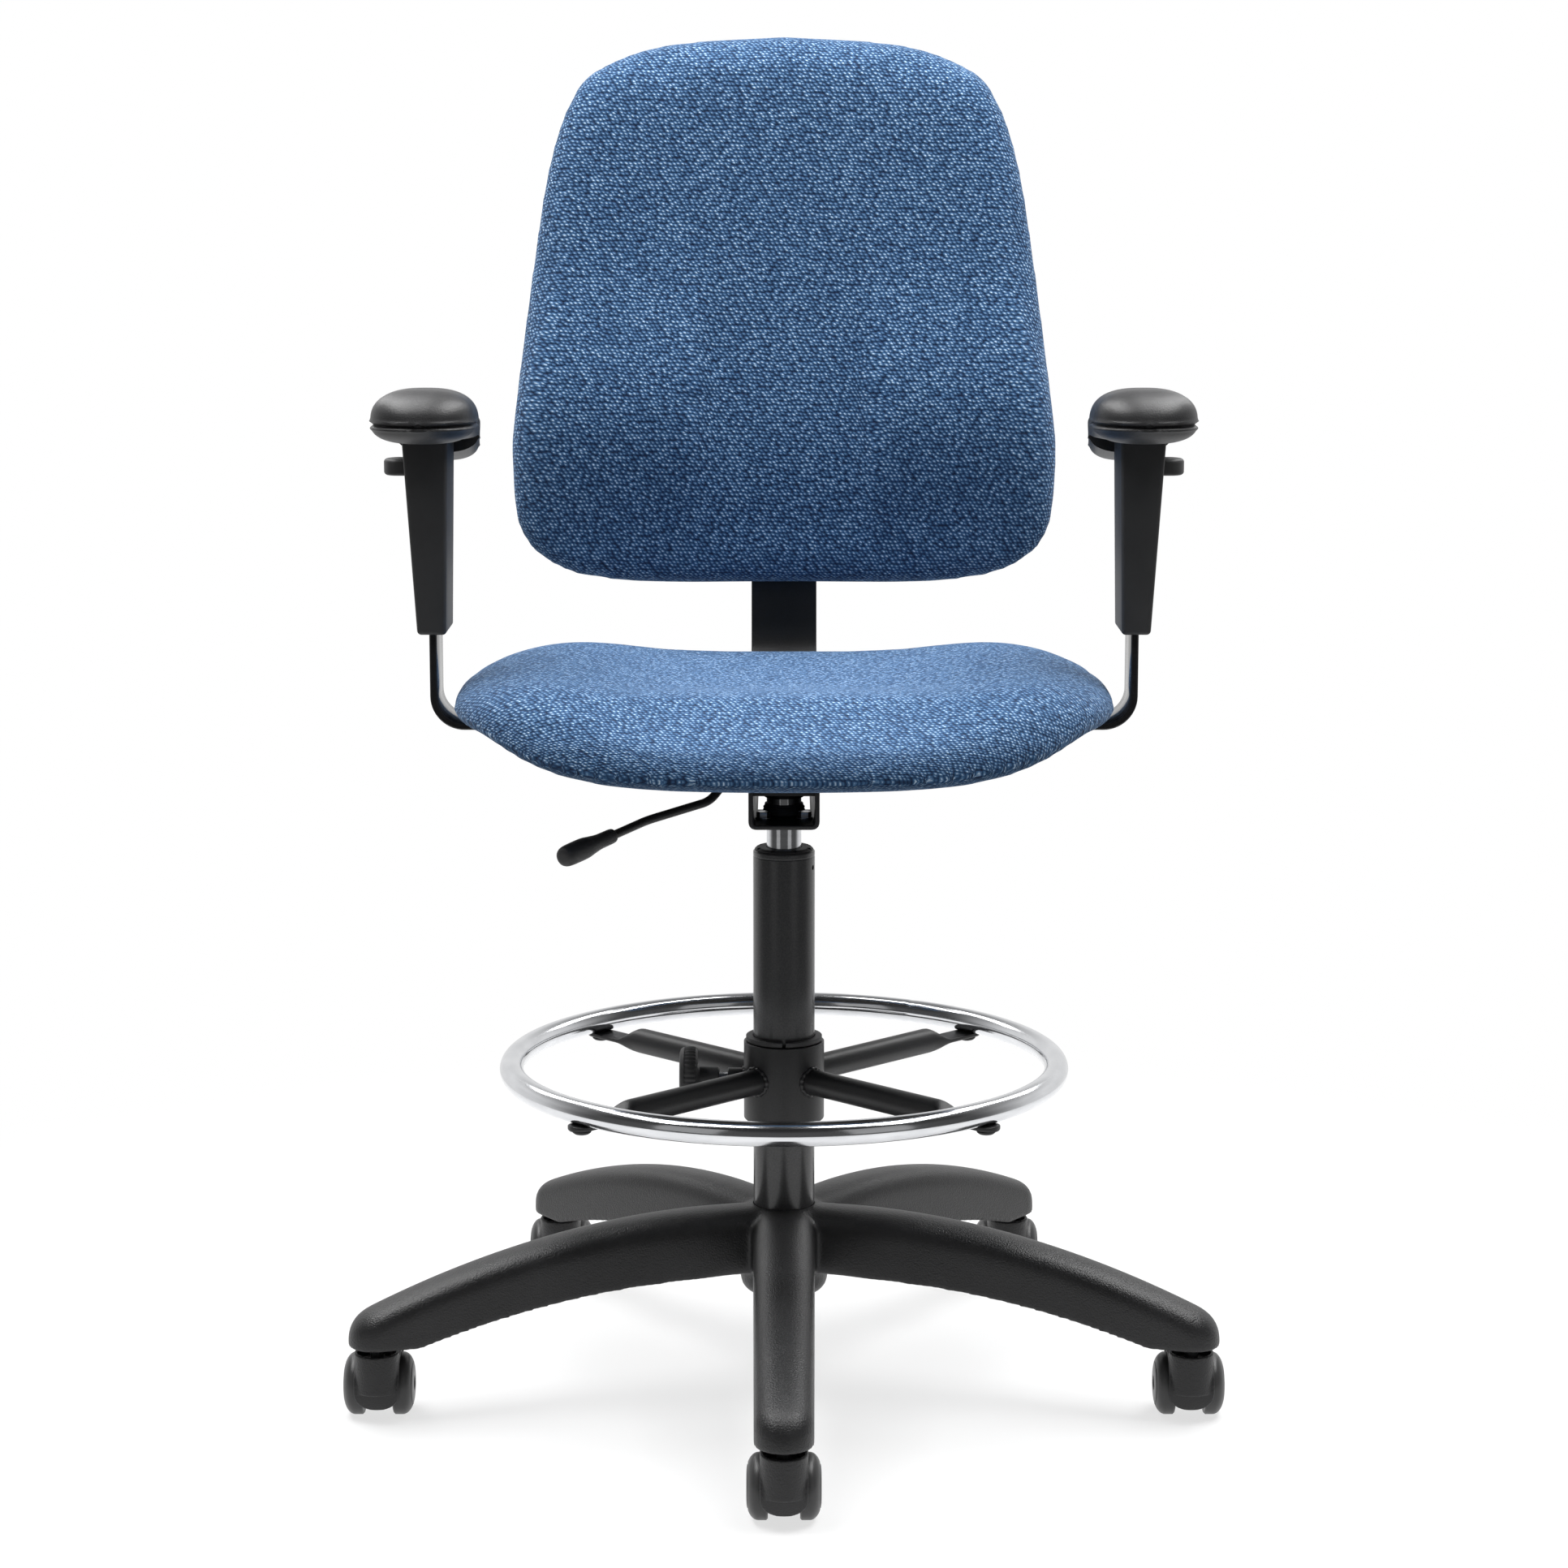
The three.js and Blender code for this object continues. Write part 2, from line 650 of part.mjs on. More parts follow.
function hubSolid() {
  const roundingSteps = 3;
  const rounding = Array.from({ length: roundingSteps + 1 }, (_, i) => {
    const angle = (i / roundingSteps) * (Math.PI / 2);
    const reach = hubRadius - hubTopRadius;
    return [hubTopRadius + reach * Math.cos(angle), hubTopZ - hubTopRound * (1 - Math.sin(angle))];
  });
  return turned([[0, hubBottomZ], [hubRadius, hubBottomZ], ...rounding, [0, hubTopZ]]);
}

function legAngle(number) {
  return -Math.PI / 2 + ((number - 1) * 2 * Math.PI) / legCount;
}

const legNumbers = Array.from({ length: legCount }, (_, i) => i + 1);

function base() {
  const legs = legNumbers.map((number) => legSolids(legAngle(number)));
  const bore = rod(columnRadius + fitGap, hubBottomZ - overcut, hubTopZ + overcut);
  const star = cut(
    joined(hubSolid(), ...legs.map((leg) => leg.outer)),
    ...legs.map((leg) => leg.hollow),
    ...legs.map((leg) => leg.socket),
    bore,
  );
  const group = new THREE.Group();
  group.add(mesh("base_star", materials.nylon, star));
  for (const number of legNumbers) {
    const angle = legAngle(number);
    group.add(caster(number, casterCircleRadius * Math.cos(angle), casterCircleRadius * Math.sin(angle)));
  }
  return group;
}

// ---- Column and gas lift

function columnTube() {
  const inner = columnRadius - columnWall;
  const hole = pistonRodRadius + fitGap;
  const floorZ = columnBottomZ + columnFloor;
  return turned([
    [hole, columnBottomZ], [columnRadius, columnBottomZ], [columnRadius, columnTopZ],
    [inner, columnTopZ], [inner, floorZ], [hole, floorZ],
  ]);
}

function columnBush() {
  const outer = columnRadius - columnWall - fitGap;
  const inner = cylinderRadius + fitGap;
  const lipZ = columnTopZ + fitGap;
  const lipRadius = columnRadius - bushLipInset;
  return turned([
    [inner, columnTopZ - bushDepth], [outer, columnTopZ - bushDepth], [outer, lipZ], [lipRadius, lipZ],
    [lipRadius - bushLip, lipZ + bushLip], [inner, lipZ + bushLip],
  ]);
}

function gasCylinder() {
  const inner = cylinderRadius - cylinderWall;
  const sealHole = pistonRodRadius + fitGap;
  const sealTop = cylinderBottomZ + cylinderSeal;
  const pocket = valveRadius + fitGap;
  const pocketZ = cylinderTopZ - valvePocketDepth;
  const gasTopZ = pocketZ - cylinderEndWall;
  return turned([
    [sealHole, cylinderBottomZ], [cylinderRadius, cylinderBottomZ], [cylinderRadius, cylinderTopZ],
    [pocket, cylinderTopZ], [pocket, pocketZ], [0, pocketZ], [0, gasTopZ], [inner, gasTopZ],
    [inner, sealTop], [sealHole, sealTop],
  ]);
}

function pistonRod() {
  const head = cylinderRadius - cylinderWall - fitGap;
  return turned(
    [
      [0, columnBottomZ], [pistonRodRadius, columnBottomZ], [pistonRodRadius, pistonZ],
      [head, pistonZ], [head, pistonZ + pistonHeight], [0, pistonZ + pistonHeight],
    ],
    smallSides,
  );
}

function gasLift() {
  const group = new THREE.Group();
  const bearingTopZ = bearingZ + bearingHeight;
  const bearing = tube(bearingRadius, pistonRodRadius + fitGap, bearingZ, bearingTopZ, smallSides);
  const valve = rod(valveRadius, valveTopZ - valveRise - valveStroke, valveTopZ, smallSides);
  group.add(mesh("column_tube", materials.columnPaint, columnTube()));
  group.add(mesh("column_bush", materials.moulded, columnBush()));
  group.add(mesh("thrust_bearing", materials.steel, bearing));
  group.add(mesh("piston_rod", materials.steel, pistonRod()));
  group.add(mesh("gas_cylinder", materials.chrome, gasCylinder()));
  group.add(mesh("valve_button", materials.steel, valve));
  return group;
}

// ---- Foot ring

const spokeNumbers = Array.from({ length: spokeCount }, (_, i) => i + 1);

function spokeTurn(number) {
  return 45 + ((number - 1) * 360) / spokeCount;
}

// The four screw holes from below open the tube's hollow.
function footRing() {
  const torus = (radius, sides) => solidOf(new THREE.TorusGeometry(ringRadius, radius, sides, ringSteps));
  const outer = torus(ringTubeRadius, ringSides);
  const inner = torus(ringTubeRadius - ringTubeWall, ringHollowSides);
  const hole = rod(ringScrewRadius + fitGap, -ringTubeRadius - overcut, 0, smallSides);
  const holes = aroundSpokes(hole.translate([ringRadius, 0, 0]));
  return cut(outer, inner, ...holes).translate([0, 0, ringHeight]);
}

function aroundSpokes(solid) {
  return spokeNumbers.map((number) => solid.rotate([0, 0, spokeTurn(number)]));
}

// One spoke about its tongue's middle plane: a round bar with a flat tongue at its outer end.
function spokeSolid() {
  const barEnd = ringRadius - ringTubeRadius - tongueLength;
  const half = tongueThickness / 2;
  return joined(
    alongX(rod(spokeRadius, collarBore, barEnd, smallSides)).translate([0, 0, spokeRise]),
    block([barEnd - tongueRoot, -tongueWidth / 2, -half], [ringRadius, tongueWidth / 2, half]),
    rod(tongueWidth / 2, -half, half, smallSides).translate([ringRadius, 0, 0]),
  );
}

// The hollow of that spoke, and the hole for the screw in its tongue.
function spokeCuts() {
  const hollowEnd = ringRadius - ringTubeRadius - tongueLength - spokeSolidEnd;
  const hollow = alongX(rod(spokeRadius - spokeWall, collarBore - overcut, hollowEnd, smallSides));
  const holeEnd = tongueThickness / 2 + overcut;
  const hole = rod(ringScrewRadius + fitGap, -holeEnd, holeEnd, smallSides);
  return [hollow.translate([0, 0, spokeRise]), hole.translate([ringRadius, 0, 0])];
}

function ringFrame() {
  const atSpokeHeight = (solid) => solid.translate([0, 0, spokeZ]);
  const bossEnd = collarRadius + bossLength;
  const toLeft = (solid) => solid.rotate([0, -90, 0]).translate([0, 0, knobZ]);
  return cut(
    joined(
      rod(collarRadius, collarBottomZ, collarTopZ),
      toLeft(rod(bossRadius, collarBore, bossEnd, smallSides)),
      ...aroundSpokes(atSpokeHeight(spokeSolid())),
    ),
    rod(collarBore, collarBottomZ - overcut, collarTopZ + overcut),
    toLeft(rod(studRadius + fitGap, 0, bossEnd + overcut, smallSides)),
    ...spokeCuts().flatMap((solid) => aroundSpokes(atSpokeHeight(solid))),
  );
}

function ringBush() {
  const inner = columnRadius + fitGap;
  const outer = inner + ringBushWall;
  const flange = outer + ringBushFlangeReach;
  const flangeZ = collarTopZ + fitGap;
  const flangeTopZ = flangeZ + ringBushFlange;
  const body = turned([
    [inner, collarBottomZ], [outer, collarBottomZ], [outer, flangeZ], [flange, flangeZ],
    [flange, flangeTopZ], [inner, flangeTopZ],
  ]);
  const half = ringBushSlit / 2;
  const slit = block([-half, -flange - overcut, collarBottomZ - overcut], [half, 0, flangeTopZ + overcut]);
  return cut(body, slit);
}

// A screw from below through the spoke's tongue into the ring.
function ringScrew() {
  const tongueBottom = spokeZ - tongueThickness / 2 - fitGap;
  const tip = ringHeight - ringTubeRadius + ringTubeWall + ringScrewEntry;
  const head = rod(ringScrewHeadRadius, tongueBottom - ringScrewHeadHeight, tongueBottom, smallSides);
  return joined(rod(ringScrewRadius, tongueBottom - overlap, tip, smallSides), head);
}

// The clamp on the collar's left: pad, threaded stud and knob, all about one line along X.
function ringClamp() {
  const padOuter = collarBore + clampPadThickness;
  const studInner = padOuter + fitGap;
  const hubInner = collarRadius + bossLength + knobStandOff;
  const headInner = hubInner + knobHubLength;
  const headOuter = headInner + knobThickness;
  const hub = rod(knobHubRadius, hubInner, headInner + overlap, smallSides);
  const socket = rod(studRadius + fitGap, hubInner - overcut, headInner + fitGap, smallSides);
  const knob = cut(joined(hub, rod(knobRadius, headInner, headOuter)), socket);
  const toLeft = (solid) => solid.rotate([0, -90, 0]).translate([0, 0, knobZ]);
  return [
    mesh("clamp_pad", materials.moulded, toLeft(rod(studRadius, collarBore, padOuter, smallSides))),
    mesh("clamp_stud", materials.steel, toLeft(rod(studRadius, studInner, headInner, smallSides))),
    mesh("clamp_knob", materials.moulded, toLeft(knob)),
  ];
}

function footRest() {
  const group = new THREE.Group();
  group.add(mesh("foot_ring", materials.chrome, footRing()));
  group.add(mesh("foot_ring_frame", materials.powderCoat, ringFrame()));
  group.add(mesh("foot_ring_bush", materials.moulded, ringBush()));
  for (const number of spokeNumbers) {
    const screw = ringScrew().translate([ringRadius, 0, 0]).rotate([0, 0, spokeTurn(number)]);
    group.add(mesh(`foot_ring_screw_${number}`, materials.moulded, screw));
  }
  group.add(...ringClamp());
  return group;
}

// ---- Mechanism and lever

// Outline of the channel with its rounded lower corners; inset gives the hollow inside it.
function channelShape(inset) {
  const half = channelWidth / 2 - inset;
  const low = channelZ + inset;
  const high = channelZ + channelHeight + (inset ? overcut : 0);
  const corner = channelCorner - inset;
  const shape = new THREE.Shape();
  shape.moveTo(-half, high);
  shape.lineTo(-half, low + corner);
  shape.absarc(-half + corner, low + corner, corner, Math.PI, 1.5 * Math.PI);
  shape.absarc(half - corner, low + corner, corner, 1.5 * Math.PI, 2 * Math.PI);
  shape.lineTo(half, high);
  return shape;
}

function mechanismChannel() {
  const half = channelWidth / 2;
  const top = channelZ + channelHeight;
  const flange = (side) => {
    const xs = [side * (half - overlap), side * (half + channelFlange)].sort((a, b) => a - b);
    return block([xs[0], -channelFront, top - channelWall], [xs[1], channelRear, top]);
  };
  const crossHalf = crossPlateLength / 2;
  const crossPlate = block(
    [overlap - half, -crossHalf, crossPlateZ],
    [half - overlap, crossHalf, crossPlateZ + crossPlateThickness],
  );
  const trough = cut(
    slabXZ(channelShape(0), -channelFront, channelRear),
    slabXZ(channelShape(channelWall), -channelFront - overcut, channelRear + overcut),
  );
  const cylinderHole = (low, thickness) =>
    rod(cylinderRadius + fitGap, low - overcut, low + thickness + overcut);
  const wallOuter = half + overcut;
  const wallInner = half - channelWall - overcut;
  const leverHole = alongX(rod(leverRadius + leverHoleGap, -wallOuter, -wallInner, smallSides));
  return cut(
    joined(trough, crossPlate, flange(-1), flange(1)),
    cylinderHole(channelZ, channelWall),
    cylinderHole(crossPlateZ, crossPlateThickness),
    leverHole.translate([0, 0, leverZ]),
  );
}

// The rubber boot on the channel's floor, and the taper's socket between it and the cross plate.
const bootZ = channelZ + channelWall + fitGap;

function taperSocket() {
  const inner = cylinderRadius + fitGap;
  return tube(inner + socketWall, inner, bootZ + bootHeight + runningGap, crossPlateZ - fitGap);
}

function taperBoot() {
  const inner = cylinderRadius + fitGap;
  return turned([
    [inner, bootZ], [inner + bootBottomWall, bootZ], [inner + bootTopWall, bootZ + bootHeight],
    [inner, bootZ + bootHeight],
  ]);
}

function leverPoint([out, forward, down]) {
  return new THREE.Vector3(-channelWidth / 2 - out, -forward, leverZ - down);
}

// Direction of the rod's last stretch and of the handle.
function leverDirection() {
  return leverPoint(leverTip).sub(leverPoint(leverBends.at(-1))).normalize();
}

// The rod from over the release pin out through the wall and into the handle.
function leverRod() {
  const start = new THREE.Vector3(valveRadius - runningGap, 0, leverZ);
  const rodEnd = leverPoint(leverTip).addScaledVector(leverDirection(), rodInHandle - handleLength);
  const points = [start, ...leverBends.map(leverPoint), rodEnd];
  const last = points.length - 1;
  const path = new THREE.CurvePath();
  const bend = 0.12; // share of each stretch given to the rounding at its ends
  for (let i = 0; i < last; i += 1) {
    const from = i ? points[i].clone().lerp(points[i + 1], bend) : points[i];
    const to = i + 1 < last ? points[i + 1].clone().lerp(points[i], bend) : points[i + 1];
    path.add(new THREE.LineCurve3(from, to));
    if (i + 1 < last) {
      const after = points[i + 1].clone().lerp(points[i + 2], bend);
      path.add(new THREE.QuadraticBezierCurve3(to, points[i + 1], after));
    }
  }
  const section = new THREE.Shape().absarc(0, 0, leverRadius, 0, 2 * Math.PI);
  const options = {
    steps: leverSteps, extrudePath: path, curveSegments: leverCurveSegments, bevelEnabled: false,
  };
  return solidOf(new THREE.ExtrudeGeometry(section, options));
}

// The handle about its own axis: a neck, a swelling grip and a rounded end.
function leverHandle() {
  const socketDepth = rodInHandle + runningGap;
  const hole = leverRadius + fitGap;
  const handle = turned(
    [
      [hole, 0], [handleNeckRadius, 0], [handleNeckRadius, handleNeckLength],
      [handleTipRadius, handleSwelling], [handleTipRadius, handleLength - handleRound],
      [handleTipRadius - handleRound, handleLength], [0, handleLength],
      [0, socketDepth], [hole, socketDepth],
    ],
    smallSides,
  );
  const direction = leverDirection();
  const made = mesh("lever_handle", materials.moulded, handle);
  made.quaternion.setFromUnitVectors(new THREE.Vector3(0, 0, 1), direction);
  made.position.copy(leverPoint(leverTip)).addScaledVector(direction, -handleLength);
  return made;
}

function mechanism() {
  const group = new THREE.Group();
  group.add(mesh("mechanism_channel", materials.powderCoat, mechanismChannel()));
  group.add(mesh("taper_socket", materials.powderCoat, taperSocket()));
  group.add(mesh("taper_boot", materials.moulded, taperBoot()));
  group.add(mesh("lever_rod", materials.powderCoat, leverRod()));
  group.add(leverHandle());
  return group;
}

// ---- Seat

// Height of the seat above the pan's underside; x and y are from the seat's middle.
function seatWaterfallAt(y) {
  return seatWaterfall * smoothStep((-y - seatDepth / 2 + seatWaterfallLength) / seatWaterfallLength);
}

function seatTopAt(x, y) {
  const bolsterX = seatWidth / 2 - seatBolsterInset;
  const ridgeY = seatRidgeInset - seatDepth / 2;
  const bolster = seatBolster * bump(Math.abs(x) - bolsterX, seatBolsterSpread);
  const ridge = seatFrontRidge * bump(y - ridgeY, seatRidgeSpread);
  return panZ + seatTopHeight + Math.max(bolster, ridge) - seatWaterfallAt(y) * seatWaterfallTop;
}

// A plate of the seat pan's outline, grown all round by a gap.
function panPlate(gap, lowZ, highZ) {
  const reach = gap - panInset;
  const outline = superellipse(seatWidth / 2 + reach, seatDepth / 2 + reach, seatSquareness, cushionSides);
  const ring = (z) => outline.map(([x, y]) => [x, y + seatMiddleY, z]);
  return lofted([ring(lowZ), ring(highZ)]);
}

function seatPan() {
  return panPlate(0, panZ, panZ + panThickness);
}

// The cushion has a pocket from below for the pan.
function seatCushion() {
  const outline = superellipse(seatWidth / 2, seatDepth / 2, seatSquareness, cushionSides);
  const bottom = (x, y) => panZ - seatWaterfallAt(y);
  const edge = (x, y) => bottom(x, y) + seatEdgeHeight;
  const body = cushioned(outline, bottom, edge, seatTopAt).translate([0, seatMiddleY, 0]);
  return cut(body, panPlate(fitGap, panZ - seatWaterfall - overcut, panZ + panThickness + fitGap));
}

// ---- Back, drawn upright about its lower edge and then leaned back

// Right half of the back's outline, from the middle of the lower edge to the top:
// [share of the half width, share of the height].
const backOutlineShares = [
  [0, 0], [0.475, 0], [0.727, 0.015], [0.876, 0.045], [0.975, 0.105], [1, 0.23], [0.987, 0.343],
  [0.93, 0.583], [0.87, 0.76], [0.785, 0.881], [0.671, 0.94], [0.42, 0.985], [0, 1],
];

function backOutline(inset, count) {
  const half = backWidth / 2 - inset;
  const tall = backHeight / 2 - inset;
  const control = backOutlineShares.map(([x, y]) => new THREE.Vector2(x * half, (2 * y - 1) * tall));
  const right = new THREE.SplineCurve(control).getSpacedPoints(count / 2);
  const left = right.slice(1, -1).reverse().map((point) => new THREE.Vector2(-point.x, point.y));
  return [...right, ...left].map((point) => [point.x, point.y]);
}

// 0 along the middle of the back, rising to 1 at its sides.
function wingAt(x) {
  return smoothStep((Math.abs(x) - backWingStart) / backWingRun);
}

function backFrontAt(x, y) {
  const lumbar = backLumbar * bump(y + backHeight / 2 - backLumbarHeight, backLumbarSpread);
  return backMiddle + backWing * wingAt(x) + lumbar;
}

// Lays a solid drawn in x, y and thickness on the back's rear plane, thickness towards -Y.
function onBackPlane(solid) {
  return solid
    .rotate([90, 0, 0])
    .translate([0, 0, backHeight / 2])
    .rotate([-THREE.MathUtils.radToDeg(backRecline), 0, 0])
    .translate([0, backFootY, backBottomZ]);
}

function backCushion() {
  const rear = (x) => fitGap / 2 + backWingRear * wingAt(x);
  const edge = (x, y) => backEdge + backWing * wingAt(x) * bump(y, backHeight);
  return onBackPlane(cushioned(backOutline(0, cushionSides), rear, edge, backFrontAt));
}

// The moulded cover behind the cushion: a thin shell with a guide inside it for the upright.
function backShell() {
  const front = () => -fitGap / 2;
  const lump = (wall) => {
    const rear = (x, y) => wall - shellDepth - shellFlare * (y / backHeight);
    return cushioned(backOutline(shellInset + wall, shellSides), rear, () => wall - shellRim, front);
  };
  const outer = lump(0);
  const openFront = lump(shellWall).translate([0, 0, fitGap]);
  const half = uprightWidth / 2 + slideGap;
  const low = -backHeight / 2;
  const guideHalf = half + guideWall;
  const guide = block([-guideHalf, low, -2 * shellDepth], [guideHalf, low + guideHeight, front()]);
  const uprightRear = -uprightRecess - uprightThickness;
  const channel = block(
    [-half, low - overcut, uprightRear - slideGap],
    [half, low + uprightOverlap + runningGap, slideGap - uprightRecess],
  );
  return onBackPlane(cut(joined(cut(outer, openFront), guide.intersect(outer)), channel));
}

function backUpright() {
  const lean = new THREE.Vector2(Math.sin(backRecline), Math.cos(backRecline));
  const depth = uprightRecess + uprightThickness / 2;
  const foot = new THREE.Vector2(backFootY, backBottomZ).add(
    new THREE.Vector2(depth * Math.cos(backRecline), -depth * Math.sin(backRecline)),
  );
  const corner = foot.clone().addScaledVector(lean, -(foot.y - uprightZ) / lean.y);
  const top = foot.clone().addScaledVector(lean, uprightOverlap);
  const start = [uprightFootY, uprightZ];
  const shape = bentStrip(start, corner.toArray(), top.toArray(), uprightBend, uprightThickness);
  return slabYZ(shape, -uprightWidth / 2, uprightWidth / 2);
}

function seatAndBack() {
  const group = new THREE.Group();
  group.add(mesh("seat_pan", materials.plywood, seatPan()));
  group.add(mesh("seat_cushion", materials.fabric, seatCushion()));
  group.add(mesh("back_upright", materials.powderCoat, backUpright()));
  group.add(mesh("back_shell", materials.moulded, backShell()));
  group.add(mesh("back_cushion", materials.fabric, backCushion()));
  return group;
}

// ---- Arms, drawn on the +X side

const armBarInnerX = armBarX - armBarThickness / 2;
const armBarOuterX = armBarX + armBarThickness / 2;

function armBar() {
  const z = panZ - fitGap - armBarThickness / 2;
  const top = [armBarX, panZ + armBarRise];
  const shape = bentStrip([armBarInner, z], [armBarX, z], top, armBarBend, armBarThickness);
  return slabXZ(shape, armBarY - armBarDepth / 2, armBarY + armBarDepth / 2);
}

function armSleeve() {
  const low = panZ + sleeveBottom;
  const high = panZ + sleeveTop;
  const halfDepth = sleeveDepth / 2;
  const outline = polygon([
    [armBarInnerX - sleeveBottomInner, low], [armBarOuterX + sleeveBottomOuter, low],
    [armBarOuterX + sleeveTopOuter, high], [armBarInnerX - sleeveTopInner, high],
  ]);
  const body = slabXZ(outline, armBarY - halfDepth, armBarY + halfDepth);
  const slotHalfY = armBarDepth / 2 + slideGap;
  const slot = block(
    [armBarInnerX - slideGap, armBarY - slotHalfY, low - overcut],
    [armBarOuterX + slideGap, armBarY + slotHalfY, high - sleeveTopWall],
  );
  return cut(body, slot, buttonBlock(runningGap, buttonStroke));
}

// The height button's body, or with a gap and a stroke the pocket that it moves in.
function buttonBlock(gap, stroke) {
  const inner = armBarOuterX + slideGap + buttonInset;
  const outer = armBarOuterX + sleeveTopOuter + buttonReach;
  const top = panZ + sleeveTop - buttonBelowTop;
  const halfDepth = buttonDepth / 2;
  return block(
    [inner - gap, armBarY - halfDepth - gap, top - buttonHeight - gap],
    [outer, armBarY + halfDepth + gap, top + stroke + gap],
  );
}

// The pad's section at a share of its length, from the blunt nose to the tail that hangs down.
function padRing(share) {
  const nose = Math.sqrt(1 - (1 - Math.min(1, share / padNoseEnd)) ** 2);
  const tail = Math.sqrt(1 - (Math.max(0, share - padTailStart) / padTailRun) ** 2);
  const end = Math.min(nose, tail);
  const hang = smoothStep((share - padLevelEnd) / (1 - padLevelEnd));
  const width = padWidth * (1 - padTailNarrowing * hang) * (padEndWidth + (1 - padEndWidth) * end);
  const height = padHeight * (padEndHeight + (1 - padEndHeight) * end);
  const y = padLength * share - padFront;
  const middleZ = panZ + sleeveTop + fitGap + padHeight / 2 - padDroop * hang;
  return superellipse(width / 2, height / 2, padSquareness, padSides).map(([dx, dz]) => [
    armBarX + dx, y, middleZ + dz,
  ]);
}

function armPad() {
  const stations = [0, 0.02, 0.07, 0.16, 0.3, 0.45, 0.6, 0.74, 0.86, 0.95, 0.99, 1];
  const seatZ = panZ + sleeveTop + fitGap;
  const flat = block(
    [0, -padFront - overcut, seatZ - padHeight],
    [2 * armBarX, armBarY + sleeveDepth / 2 + padSeatSpare, seatZ],
  );
  return cut(lofted(stations.map(padRing)), flat);
}

function arm(side) {
  const group = new THREE.Group();
  group.add(mesh(`arm_bar_${side}`, materials.columnPaint, armBar()));
  group.add(mesh(`arm_sleeve_${side}`, materials.moulded, armSleeve()));
  group.add(mesh(`arm_button_${side}`, materials.moulded, buttonBlock(0, 0)));
  group.add(mesh(`arm_pad_${side}`, materials.polyurethane, armPad()));
  return group;
}

function arms() {
  const group = new THREE.Group();
  const left = arm("left");
  left.scale.x = -1;
  group.add(arm("right"), left);
  return group;
}

const chair = new THREE.Group();
chair.add(base(), gasLift(), footRest(), mechanism(), seatAndBack(), arms());

export default chair;
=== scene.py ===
"""The looks of a drafting chair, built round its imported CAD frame.

Metres, +Z up, the chair faces -Y, and the origin is on the floor under the column. Places come
from the boxes of the CAD nodes. The sizes below are those that a box doesn't give.
"""

import json
import math

import bmesh
import bpy
import numpy as np
from mathutils import Matrix, Vector


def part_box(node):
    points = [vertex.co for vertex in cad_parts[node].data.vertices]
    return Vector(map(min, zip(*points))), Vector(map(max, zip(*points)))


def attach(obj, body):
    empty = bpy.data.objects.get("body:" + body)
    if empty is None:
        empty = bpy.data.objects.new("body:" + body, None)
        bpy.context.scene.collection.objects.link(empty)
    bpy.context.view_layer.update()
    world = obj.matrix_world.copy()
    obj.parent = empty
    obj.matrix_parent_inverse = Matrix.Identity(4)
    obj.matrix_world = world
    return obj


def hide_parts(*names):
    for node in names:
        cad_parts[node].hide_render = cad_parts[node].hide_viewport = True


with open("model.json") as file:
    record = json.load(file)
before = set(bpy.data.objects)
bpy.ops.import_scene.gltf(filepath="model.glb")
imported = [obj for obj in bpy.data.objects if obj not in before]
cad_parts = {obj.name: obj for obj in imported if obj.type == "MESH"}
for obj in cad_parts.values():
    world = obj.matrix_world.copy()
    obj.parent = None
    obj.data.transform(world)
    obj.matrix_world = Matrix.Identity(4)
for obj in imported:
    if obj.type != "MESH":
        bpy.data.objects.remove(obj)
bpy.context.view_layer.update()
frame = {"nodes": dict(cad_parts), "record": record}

# ---- Sizes, in metres

TOUCH = 0.0003  # how far a piece stands in from its neighbour where they would share a face
FIT = 0.0005  # between a slot and what slides in it
CUT = 0.01  # how far a cutting tool reaches past what it cuts
AXIS_GAP = 1e-5

LEG_COUNT = 5
LEG_TIP_RADIUS = 0.0224
LEG_TIP_HEIGHT = 0.032
LEG_ROOT_HALF_WIDTH = 0.0255
LEG_CREST_HEIGHT = 0.089
LEG_CREST_RADIUS = 0.060
LEG_CROWN = 0.020
LEG_WALL = 0.004
ARCH_CREST_HEIGHT = 0.036
ARCH_CREST_RADIUS = 0.085
ARCH_END_INSET = 0.030
HUB_RADIUS = 0.036
HUB_DEPTH = 0.070
HUB_SKIRT_RADIUS = 0.031
HUB_SKIRT_DROP = 0.004
HUB_BORE = 0.0253
FILLET_RADIUS = 0.088  # from the column's axis to where the legs' creases stay crisp
FILLET_RUN = 0.035
BASE_VOXEL = 0.002

WHEEL_TREAD = 0.007
WHEEL_FACE = 0.42  # share of the wheel's radius that is the flat middle of its outer face
WHEEL_DISH = 0.80  # share of its radius that is hollow inside
WHEEL_DISH_DEPTH = 0.0015
WHEEL_CHAMFER = 0.0012
WHEEL_DOME_STEPS = 12
WHEEL_GROOVE_STEP = 8
AXLE_RADIUS = 0.003
HOOD_WALL = 0.003
HOOD_TONGUE_DROP = 0.015
HOOD_CUP_WALL = 0.0025
HOOD_TONGUE_ROUND = 0.017
HOOD_REAR = 0.01875  # of its cut-off rear, behind the axle
HOOD_SKIRT = 0.008  # of its lower rear's, which is cut off above the floor by the next size
HOOD_SKIRT_DROP = 0.009
STEM_BORE = 0.0058
HOOD_VOXEL = 0.0009
FAR = 0.1  # past every caster piece, for the tools that cut them

